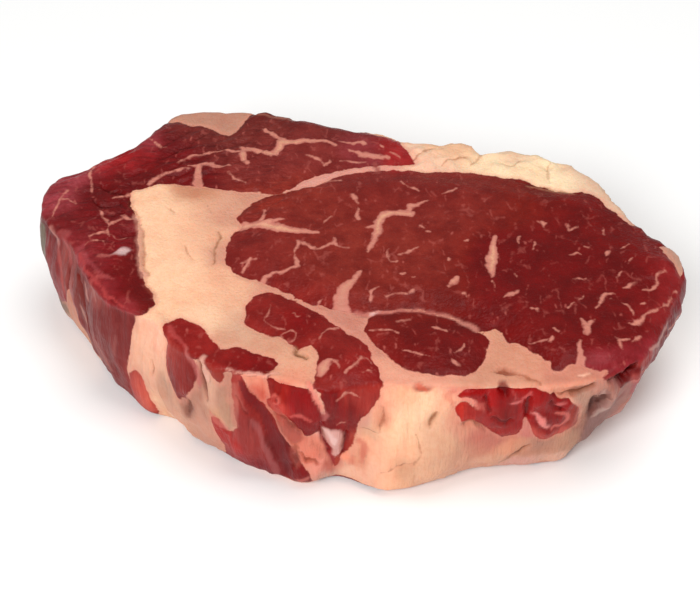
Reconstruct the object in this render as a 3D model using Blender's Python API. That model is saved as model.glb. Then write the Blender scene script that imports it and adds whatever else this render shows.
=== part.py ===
"""Raw boneless ribeye steak, cut about 38 mm thick, lying on its lower cut face.

It is one piece of meat, so it is one solid, "steak". Sizes below are in millimetres and are turned to
metres where the mesh is made. +Z is up. The origin is on the surface that the steak lies on, under the
middle of its box. X runs the long way, from the thin end of the cap (-X) to the outer end of the eye (+X),
and -Y is the side of the ribs, where the trimmed fat is thickest.

The steak starts as a sphere whose rings are moved onto the steak: the rings from the upper pole become the
cut face, the next ones the rounded rim, the wall and the foot, and the lower pole the flat underside.
"""

import math

import bmesh
import bpy
from mathutils import Vector

MM = 0.001

# ---------------------------------------------------------------- driving sizes, in millimetres
THICKNESS = 38.0        # between the two cuts of the knife
FOOT_RADIUS = 4.0       # the lower edge, rounded by the meat's own weight
MIDDLE = (0.0, 2.0)     # where the rings of the cut face close
ORIGIN = (0.6, 2.2)     # middle of the steak's box on the drawing that the outlines below are given in

COLUMNS = 120           # points round the outline
FACE_RINGS = 18         # rings of the cut face, from the middle to the rim
EDGE_RINGS = 3          # rings round the rim, and round the foot
WALL_RINGS = 7          # rings down the wall

# Round the steak from the outer end of the eye, anticlockwise seen from above. Each station holds the rim's
# x and y, the radius that the rim is rounded to, and how far the wall stands out of the rim's outline
# at half height and at the foot.
STATIONS = (
    (85, -14, 8, -5, -13),   # outer end of the eye
    (85, -2, 4, -4, -12),
    (79, 6, 4, -2, -9),
    (74, 12, 3, -1, -7),
    (70, 20, 3, -1, -5),
    (66, 28, 3, 0, -4),      # corner of the back fat
    (57, 36, 3, 1, -2),
    (46, 40, 3, 1, -2),
    (40, 41, 3, 0, -2),
    (35, 39, 2, 0, -2),      # dip between two lumps of fat
    (31, 44, 3, 0, -3),
    (23, 44, 3, 0, -3),
    (15, 44, 3, 0, -3),
    (7, 48, 3, 0, -3),       # end of the cap
    (-8, 51, 3, 0, -3),
    (-26, 57, 3, 0, -3),
    (-41, 58, 3, 0, -3),
    (-51, 56, 3, 0, -3),
    (-59, 44, 3, 0, -3),
    (-69, 37, 4, 0, -4),
    (-75, 31, 4, 0, -4),
    (-81, 28, 3, 0, -5),
    (-84, 17, 3, 0, -5),     # thin end of the cap
    (-80, 7, 3, 2, -4),
    (-73, 0, 3, 4, -3),
    (-69, -11, 3, 2, -3),
    (-60, -22, 2, 1, -2),
    (-50, -27, 2, 2, -1),
    (-43, -37, 2, 1, -3),
    (-33, -44, 2, 1, -3),
    (-20, -47, 2, 2, 0),
    (-13, -50, 3, 2, 1),
    (-5, -51, 4, -1, -4),    # crease where the chain muscle drops down the wall
    (5, -49, 4, 2, 3),
    (16, -50, 4, 2, 1),
    (34, -50, 4, 0, -5),
    (50, -49, 4, -2, -6),
    (65, -45, 5, -2, -6),
    (77, -34, 8, -8, -16),
)

# The muscles that the cut shows. Each bulges a little out of the fat between them. Where an outline runs
# past the rim, the muscle reaches the wall there.
EYE = (
    (90, -8), (88, -30), (74, -44), (61, -47), (49, -44), (40, -36), (31, -28), (16, -23), (0, -24),
    (-10, -21), (-22, -14), (-32, -9), (-34, -1), (-28, 6), (-30, 13), (-20, 22), (-6, 28), (14, 30),
    (36, 28), (52, 23), (62, 22), (72, 10), (80, 1),
)
OVAL = ((0, -27), (10, -25), (24, -27), (32, -32), (32, -40), (22, -46), (9, -41))
CAP = (
    (16, 34), (2, 33), (-8, 31), (-21, 22), (-38, 24), (-52, 26), (-60, 22), (-57, 4), (-54, -10),
    (-49, -25), (-60, -32), (-80, -12), (-94, 12), (-88, 34), (-66, 48), (-50, 52), (-38, 47), (-28, 60),
    (0, 52), (10, 46),
)
CHAIN = (
    (-28, -24), (-22, -18), (-12, -22), (-2, -31), (6, -41), (8, -58), (-9, -60), (-9, -42), (-18, -32),
    (-26, -31),
)
MUSCLES = ((EYE, 1.6), (OVAL, 0.9), (CAP, 0.8), (CHAIN, 1.0))   # outline, how far it bulges
BULGE_REACH = 7.0       # how far in from its edge a muscle keeps rising
CURVE_STEPS = 5         # points that a curve takes between two of its given points

# Dents and swellings of the surface: x, y and z of the middle, reach, and how far the surface moves out.
LUMPS = (
    (-2, -52, 18, 8, -2.5),      # crease where the chain muscle drops down the wall
    (14, -52, 12, 15, 2.0),      # soft belly of the trimmed fat
    (38, -51, 20, 12, -1.5),     # shallow hollow of the rib meat
    (64, -46, 16, 10, -3.0),     # hollow under the eye's overhang
    (-47, -31, 16, 8, 1.5),      # fat fold beside the cap
    (-44, 4, 38, 22, 1.2),       # crown of the fat between cap and eye
)

LEAN_RED = (0.235, 0.018, 0.016, 1.0)
FAT_CREAM = (0.84, 0.50, 0.30, 1.0)


# ---------------------------------------------------------------- curves in the plane
def smooth_loop(points, steps=CURVE_STEPS):
    """A closed Catmull-Rom curve through the points, which may hold any number of values each."""
    loop = []
    for i in range(len(points)):
        before, start, end, after = (points[(i + k) % len(points)] for k in (-1, 0, 1, 2))
        for step in range(steps):
            t = step / steps
            loop.append(tuple(
                0.5 * (2 * b + (c - a) * t + (2 * a - 5 * b + 4 * c - d) * t * t
                       + (3 * b - 3 * c + d - a) * t ** 3)
                for a, b, c, d in zip(before, start, end, after)
            ))
    return loop


def evenly(loop, count):
    """The closed loop read at count places, evenly spaced along its first two values."""
    closed = loop + loop[:1]
    lengths = [math.dist(a[:2], b[:2]) for a, b in zip(closed, closed[1:])]
    spacing = sum(lengths) / count
    places = []
    i, passed = 0, 0.0
    for k in range(count):
        while passed + lengths[i] < k * spacing:
            passed += lengths[i]
            i += 1
        t = (k * spacing - passed) / lengths[i]
        places.append(tuple(a + (b - a) * t for a, b in zip(closed[i], closed[i + 1])))
    return places


def depth_inside(x, y, loop):
    """How far inside the closed loop a point lies, in millimetres, and negative outside it."""
    nearest, inside = math.inf, False
    for (ax, ay), (bx, by) in zip(loop, loop[1:] + loop[:1]):
        along = ((x - ax) * (bx - ax) + (y - ay) * (by - ay)) / ((bx - ax) ** 2 + (by - ay) ** 2)
        along = min(1.0, max(0.0, along))
        nearest = min(nearest, math.hypot(x - ax - along * (bx - ax), y - ay - along * (by - ay)))
        if (ay > y) != (by > y) and x < ax + (y - ay) * (bx - ax) / (by - ay):
            inside = not inside
    return nearest if inside else -nearest


def ease(t):
    """0 to 1 with a soft start and end."""
    t = min(1.0, max(0.0, t))
    return t * t * (3 - 2 * t)


# ---------------------------------------------------------------- the steak's surface
MUSCLE_LOOPS = [(smooth_loop(outline), bulge) for outline, bulge in MUSCLES]


def in_muscle(x, y):
    """How far the place is inside a muscle, or how far outside the nearest one, as a negative number."""
    return max(depth_inside(x, y, loop) for loop, _ in MUSCLE_LOOPS)


def face_height(x, y):
    """Height of the upper cut face, whose muscles bulge above the fat."""
    return THICKNESS + max(
        bulge * ease(depth_inside(x, y, loop) / BULGE_REACH) for loop, bulge in MUSCLE_LOOPS
    )


def outwards(columns, reach=2):
    """The outline's outward direction at each column, taken over a few neighbours to stay smooth."""
    directions = []
    for i in range(len(columns)):
        before, after = columns[i - reach], columns[(i + reach) % len(columns)]
        directions.append(Vector((after[1] - before[1], before[0] - after[0])).normalized())
    return directions


def wall_offset(share, belly, foot):
    """How far the wall stands out at this share of its height: 0 at the rim, belly half way, foot below."""
    down = 1 - share
    return belly * 4 * down * share + foot * down * (2 * down - 1)


def lumped(point, out, lean):
    """The point moved by the dents and swellings near it. Lean is 0 on the cut face and 1 on the wall."""
    normal = Vector((out.x * lean, out.y * lean, 1 - lean)).normalized()
    moved = point.copy()
    for x, y, z, reach, push in LUMPS:
        near = (point - Vector((x, y, z))).length / reach
        moved += normal * push * math.exp(-near * near)
    return moved


def column_points(place, out):
    """The points of one column, from the middle of the cut face, over the rim and down to the foot."""
    x, y, radius, belly, foot = place
    rim = Vector((x, y))
    middle = Vector(MIDDLE)
    inner = rim - out * radius
    top = face_height(*inner)
    shoulder = top - radius
    points = []
    for ring in range(1, FACE_RINGS + 1):
        spot = middle.lerp(inner, ring / FACE_RINGS)
        points.append(lumped(Vector((*spot, face_height(*spot))), out, 0))
    for ring in range(1, EDGE_RINGS + 1):
        turn = math.pi / 2 * ring / EDGE_RINGS
        spot = inner + out * radius * math.sin(turn)
        height = top - radius * (1 - math.cos(turn))
        points.append(lumped(Vector((*spot, height)), out, ring / EDGE_RINGS))
    for ring in range(1, WALL_RINGS + 1):
        height = shoulder + (FOOT_RADIUS - shoulder) * ring / WALL_RINGS
        spot = rim + out * wall_offset(height / shoulder, belly, foot)
        points.append(lumped(Vector((*spot, height)), out, 1))
    base = points[-1]
    for ring in range(1, EDGE_RINGS + 1):
        turn = math.pi / 2 * ring / EDGE_RINGS
        inset = Vector((*out, 0)) * FOOT_RADIUS * (1 - math.cos(turn))
        points.append(Vector((base.x - inset.x, base.y - inset.y, FOOT_RADIUS * (1 - math.sin(turn)))))
    return points


def make_material(name, colour, roughness):
    material = bpy.data.materials.new(name)
    material.use_nodes = True
    shader = material.node_tree.nodes["Principled BSDF"]
    shader.inputs["Base Color"].default_value = colour
    shader.inputs["Roughness"].default_value = roughness
    return material


def make_steak():
    """A sphere whose rings are moved onto the steak, and whose faces take the colour of lean or of fat."""
    columns = evenly(smooth_loop(STATIONS), COLUMNS)
    surface = [column_points(place, out) for place, out in zip(columns, outwards(columns))]
    rings = FACE_RINGS + EDGE_RINGS + WALL_RINGS + EDGE_RINGS
    origin = Vector((*ORIGIN, 0))
    bm = bmesh.new()
    bmesh.ops.create_uvsphere(bm, u_segments=COLUMNS, v_segments=rings + 1, radius=1)
    for vert in bm.verts:
        ring = round(math.acos(max(-1.0, min(1.0, vert.co.z))) / math.pi * (rings + 1))
        if ring == 0:
            spot = Vector((*MIDDLE, face_height(*MIDDLE)))
        elif ring == rings + 1:
            spot = Vector((*MIDDLE, 0))
        else:
            column = round(math.atan2(vert.co.y, vert.co.x) / (2 * math.pi) * COLUMNS) % COLUMNS
            spot = surface[column][ring - 1]
        vert.co = (spot - origin) * MM
    for face in bm.faces:
        spot = face.calc_center_median() / MM + origin
        face.material_index = 0 if in_muscle(spot.x, spot.y) > 0 else 1
        face.smooth = True
    mesh = bpy.data.meshes.new("steak")
    bm.to_mesh(mesh)
    bm.free()
    mesh.materials.append(make_material("lean_beef", LEAN_RED, 0.42))
    mesh.materials.append(make_material("beef_fat", FAT_CREAM, 0.5))
    steak = bpy.data.objects.new("steak", mesh)
    bpy.context.scene.collection.objects.link(steak)
    return steak


for old in list(bpy.data.objects):
    bpy.data.objects.remove(old)
make_steak()
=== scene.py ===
import math

import bpy
import numpy as np
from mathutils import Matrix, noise


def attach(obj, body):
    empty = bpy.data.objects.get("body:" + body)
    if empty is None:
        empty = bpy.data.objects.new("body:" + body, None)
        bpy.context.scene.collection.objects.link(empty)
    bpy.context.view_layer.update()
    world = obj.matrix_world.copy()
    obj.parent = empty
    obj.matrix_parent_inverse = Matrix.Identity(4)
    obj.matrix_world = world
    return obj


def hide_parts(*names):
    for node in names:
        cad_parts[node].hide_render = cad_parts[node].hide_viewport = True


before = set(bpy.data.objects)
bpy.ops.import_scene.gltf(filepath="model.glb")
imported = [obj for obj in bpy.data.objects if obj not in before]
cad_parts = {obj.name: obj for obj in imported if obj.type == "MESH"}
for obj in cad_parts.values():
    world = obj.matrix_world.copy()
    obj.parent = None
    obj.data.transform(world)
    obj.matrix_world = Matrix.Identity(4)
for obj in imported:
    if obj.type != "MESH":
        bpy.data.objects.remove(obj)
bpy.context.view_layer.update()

MM = 0.001
noise.seed_set(2)      # the edges stray the same way each time

# ---------------------------------------------------------------- the steak's plan, in millimetres
# Places on the cut face are x and y. Places on the wall are u, along the rim from the thin end of the cap
# round by the ribs to the eye, and v, down from the rim.
THICKNESS = 38.0
ORIGIN = np.array([0.6, 2.2, 0.0])      # middle of the steak's box on this plan
RIM = (
    (-84, 17), (-80, 7), (-73, 0), (-69, -11), (-60, -22), (-50, -27), (-43, -37), (-33, -44), (-20, -47),
    (-13, -50), (-5, -51), (5, -49), (16, -50), (34, -50), (50, -49), (65, -45), (77, -34), (85, -14),
    (85, -2), (79, 6), (74, 12), (70, 20), (66, 28), (57, 36), (46, 40), (40, 41), (35, 39), (31, 44),
    (23, 44), (15, 44), (7, 48), (-8, 51), (-26, 57), (-41, 58), (-51, 56), (-59, 44), (-69, 37),
    (-75, 31), (-81, 28),
)
WRAP = 62.0            # where u starts again, in the fat at the back
INSET = 1.6            # the wall takes its columns from the cut face this far inside the rim
FACE_SWELL = 0.4       # the lean's real edge lies this far outside its outline on the cut face
WALL_SWELL = 0.2       # and this far on the wall
OUTLINE_REACH = 6.0    # depths in an outline are worked out no further than this
STROKE_REACH = 3.0     # and depths in a stroke no further than this
CRACK_LIP = 0.5        # how wide a crack's rounded edge is
TUCK_FADE = 24.0       # the foot's tuck fades out this far in from the rim
TINY = 1e-9            # a step of a curve that is shorter than this is no step
VOXEL = 1.35 * MM      # cell size of the remesh, in metres; as fine as 200,000 triangles in the finished piece allow
FRONT_START = -30      # the wall is cut finer from here to there, in u
FRONT_END = 214

EYE = (
    (92, -16), (88, -30), (74, -43.5), (61, -44.6), (57.6, -44.2), (54.4, -43.3), (51.6, -43.3),
    (50.2, -44.8), (48.2, -44.6), (48.3, -42), (46.4, -40.5), (43.4, -38.2), (41.6, -36.4), (39.4, -35),
    (38, -35.2), (37.7, -32.4), (36.2, -30.7), (34.9, -29.8), (33.8, -30.4), (31.6, -31), (29.4, -30.2),
    (27.6, -28.2), (25.6, -26.5), (21.4, -25), (15, -23.1), (10, -23.5), (5.4, -24), (0, -24.3),
    (-4, -23.9), (-8, -22.5), (-12, -20.8), (-16, -18.2), (-22, -14.4), (-27.6, -12.2), (-32, -8.7),
    (-33.1, -3.2), (-31.9, 2.8), (-29.4, 6.8), (-30.5, 9.6), (-29.2, 12.8), (-27.2, 16), (-23, 19.4),
    (-19.6, 20.4), (-15, 21.8), (-11.5, 22.8), (-8, 25), (-5, 27.6), (-2, 28.8), (3, 29.8), (8, 30.4),
    (15, 30.2), (22, 30), (31.5, 29.6), (37, 28.4), (45, 26.6), (49, 24.5), (53.5, 22.6), (57.5, 21.4),
    (61.8, 21.6), (64.8, 19.1), (69, 13.6), (73.6, 8.4), (77, 9.6), (82, 8), (84, 3), (79.6, 0.4),
    (80.2, -3), (81.8, -6.6), (83.2, -10), (87, -13),
)
OVAL = (
    (4.4, -26.2), (9, -25.2), (15, -24.4), (21, -25.9), (24.4, -27.4), (27, -29.2), (29.8, -31.3),
    (31.8, -32.6), (32.9, -36), (31.6, -41), (27.4, -45.6), (25.2, -46), (17, -45.8), (11.6, -43),
    (7.5, -38.8), (4.6, -35), (3.1, -31.4), (3, -28.4),
)
CAP = (
    (16.5, 34.5), (13, 33.1), (9, 33.4), (6, 32.6), (1, 32.3), (-4, 31.4), (-8, 30.2), (-11.6, 28),
    (-15, 25.4), (-18, 22.8), (-20.4, 21), (-23, 21.2), (-26, 21.8), (-30, 21.7), (-36, 22.2),
    (-41, 23.8), (-47, 24.9), (-53, 25.2), (-56, 23.7), (-60.4, 21.9), (-60.2, 16.2), (-58.5, 11.6),
    (-57.5, 5.8), (-56.9, -1.2), (-55.9, -7), (-54.5, -12.9), (-52.1, -18), (-50.6, -21.6),
    (-52.8, -24.2), (-60, -32), (-80, -12), (-94, 12), (-88, 34), (-66, 50), (-52, 51.4), (-45, 49.6),
    (-41, 49), (-38.6, 47.2), (-35.4, 45.4), (-33.4, 47), (-31, 50.4), (-29, 54.6), (-26, 57), (-20, 56),
    (-18, 53), (-10, 51), (0, 47.6), (6, 46), (10, 44.8), (14, 40),
)
CHAIN = (
    (-27, -25), (-26.4, -20.6), (-23.8, -18.6), (-20, -18.4), (-15, -21.4), (-10, -24.8), (-8, -26.5),
    (-5.4, -29.6), (-2, -32.2), (1.2, -34.5), (3.2, -37.8), (4, -41.4), (5.8, -46), (6.4, -60), (-9, -60),
    (-9.4, -47), (-8.6, -41.1), (-10.5, -36.6), (-13.4, -37), (-15.6, -36), (-18.2, -33), (-22, -32.1),
    (-26.5, -29.2),
)
LOBE_A = (
    (-46.2, -28.8), (-44.8, -27.4), (-43, -27.5), (-40.2, -28.8), (-38.5, -30), (-37.8, -31.5),
    (-36.3, -33.6), (-35.1, -35.6), (-33.8, -37.2), (-32, -38.6), (-32, -40.2), (-34, -43), (-38, -43),
    (-46, -42), (-48.8, -34),
)
LOBE_B = (
    (-35, -39.4), (-32, -37.5), (-29, -37.3), (-27, -38), (-25.6, -39), (-23, -40.2), (-21.4, -40.9),
    (-20, -41.8), (-19.6, -43), (-20.1, -44.3), (-21.4, -45.1), (-24, -45), (-29, -43.9), (-31.8, -43.4),
    (-34, -43.2),
)
MUSCLES = (EYE, OVAL, CAP, CHAIN, LOBE_A, LOBE_B)

# Lean that shows on the wall.
CAP_SIDE = (
    (-52, -4), (-20, -4), (50, -4), (51.2, 1), (51, 7), (50, 13), (49, 18), (47.6, 25), (46, 38),
    (36, 38), (31.4, 29), (28.4, 22), (26, 17), (23, 13), (19, 16), (15, 22), (0, 26), (-18, 22),
    (-34, 17), (-50, 10),
)
LOW_RED = (
    (50, 21.5), (52, 21), (53.4, 25), (54.6, 29), (55.8, 36), (53, 46), (46, 46), (46.4, 36), (47.8, 27),
)
LOBE_SIDE = (
    (61.5, -5), (63.6, -1), (65.3, 4), (66.2, 9), (67.2, 13), (68.4, 17), (69.2, 19), (70.4, 17.4),
    (71.8, 15.4), (73.2, 13), (74.3, 10.6), (74.9, 8), (74.8, 4), (73.6, 1), (77, -1), (77.4, -5),
)
WEDGE = (
    (77.4, -4), (78.4, 0.6), (79.8, 3.4), (81.4, 5), (82.6, 4.7), (83.4, 3), (82.8, 0.6), (82.6, -4),
)
SHANK = (
    (85.6, 1), (85.6, 5), (86, 9.2), (87.2, 15), (87.4, 18.6), (85.8, 20.6), (84, 20.8), (83, 19),
    (82, 17.2), (80, 18), (80, 23), (81, 27), (81, 31), (83, 46), (110, 46), (106, 38), (105.2, 34),
    (104.4, 30.5), (103.4, 27.6), (102.2, 25), (101, 22), (99.4, 19.5), (97.9, 17), (96, 13.8),
    (94.3, 11.2), (92.1, 9.2), (90, 6), (88.5, 2.7), (87.4, 1.2),
)
BLOODY = (
    (94.3, 1.4), (95.6, 0.6), (98, 1.2), (99.6, 0), (101.5, -0.9), (104.2, -0.8), (106.1, 1.6),
    (107.6, 4.4), (108.2, 7.2), (108.6, 10), (108.8, 14), (107.4, 17.6), (104.8, 17.8), (102.6, 15.6),
    (101.2, 12.6), (99.6, 11), (97.4, 10.8), (95.4, 10.4), (94.4, 8.6), (95.2, 6), (94.4, 3.6),
)
CHAIN_SIDE = (
    (107.7, -6), (108.3, 0), (109.2, 5), (109.4, 8.4), (108.2, 10.4), (107.8, 15), (109, 20), (110, 25),
    (111, 31), (112.4, 32.6), (113.3, 29.5), (113.8, 27), (116, 24), (117.6, 18), (118.2, 11.4),
    (121, 8.4), (123, 4.4), (123.7, 0), (122.8, -6),
)
RIB_MEAT = (
    (142.2, 4.4), (143.2, 2.7), (145, 1.3), (148, 0.8), (150, 0.6), (151.4, -0.9), (153, -1.5),
    (154.6, 0), (157.6, 0.3), (160.4, 1.3), (163, 3.4), (164.6, 5), (168, 6.6), (170.4, 8), (171.6, 11),
    (173.6, 16), (173.4, 21), (170.4, 22.4), (168, 22), (164.6, 22.6), (162, 20.2), (161, 16.6),
    (160.2, 14.4), (159.2, 15.4), (158.6, 18), (157.4, 20.2), (155.2, 20.8), (152.4, 18.6), (150, 16.4),
    (147.2, 14.4), (145.2, 13.2), (143.6, 11.6), (141.6, 8.6), (141.8, 7.2), (143.6, 7), (145.6, 7.8),
    (146, 5.6), (144, 5.1),
)
EYE_SIDE = (
    (177, -4), (178, 0.6), (180.4, 3), (182.4, 3.6), (184, 6.6), (186, 6.2), (188.6, 4.4), (192, 6),
    (204, 11), (222, 9), (236, 12), (244, 6), (248, -4),
)
BACK_CAP = (
    (338, -4), (342, 8), (349, 15), (358, 12), (366, 17), (374, 10), (378, -1), (372, 1.2), (356, 1.4),
    (344, 1),
)
BACK_EYE = (
    (262, 14), (268, 11), (276, 16), (277, 25), (269, 29), (262, 22),
)
BACK_LOW = (
    (302, 27), (312, 23), (322, 26), (325, 33), (314, 36), (304, 33),
)
WALL_LEAN = (CAP_SIDE, LOW_RED, LOBE_SIDE, WEDGE, SHANK, BLOODY, CHAIN_SIDE, RIB_MEAT, EYE_SIDE, BACK_CAP,
             BACK_EYE, BACK_LOW)

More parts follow.
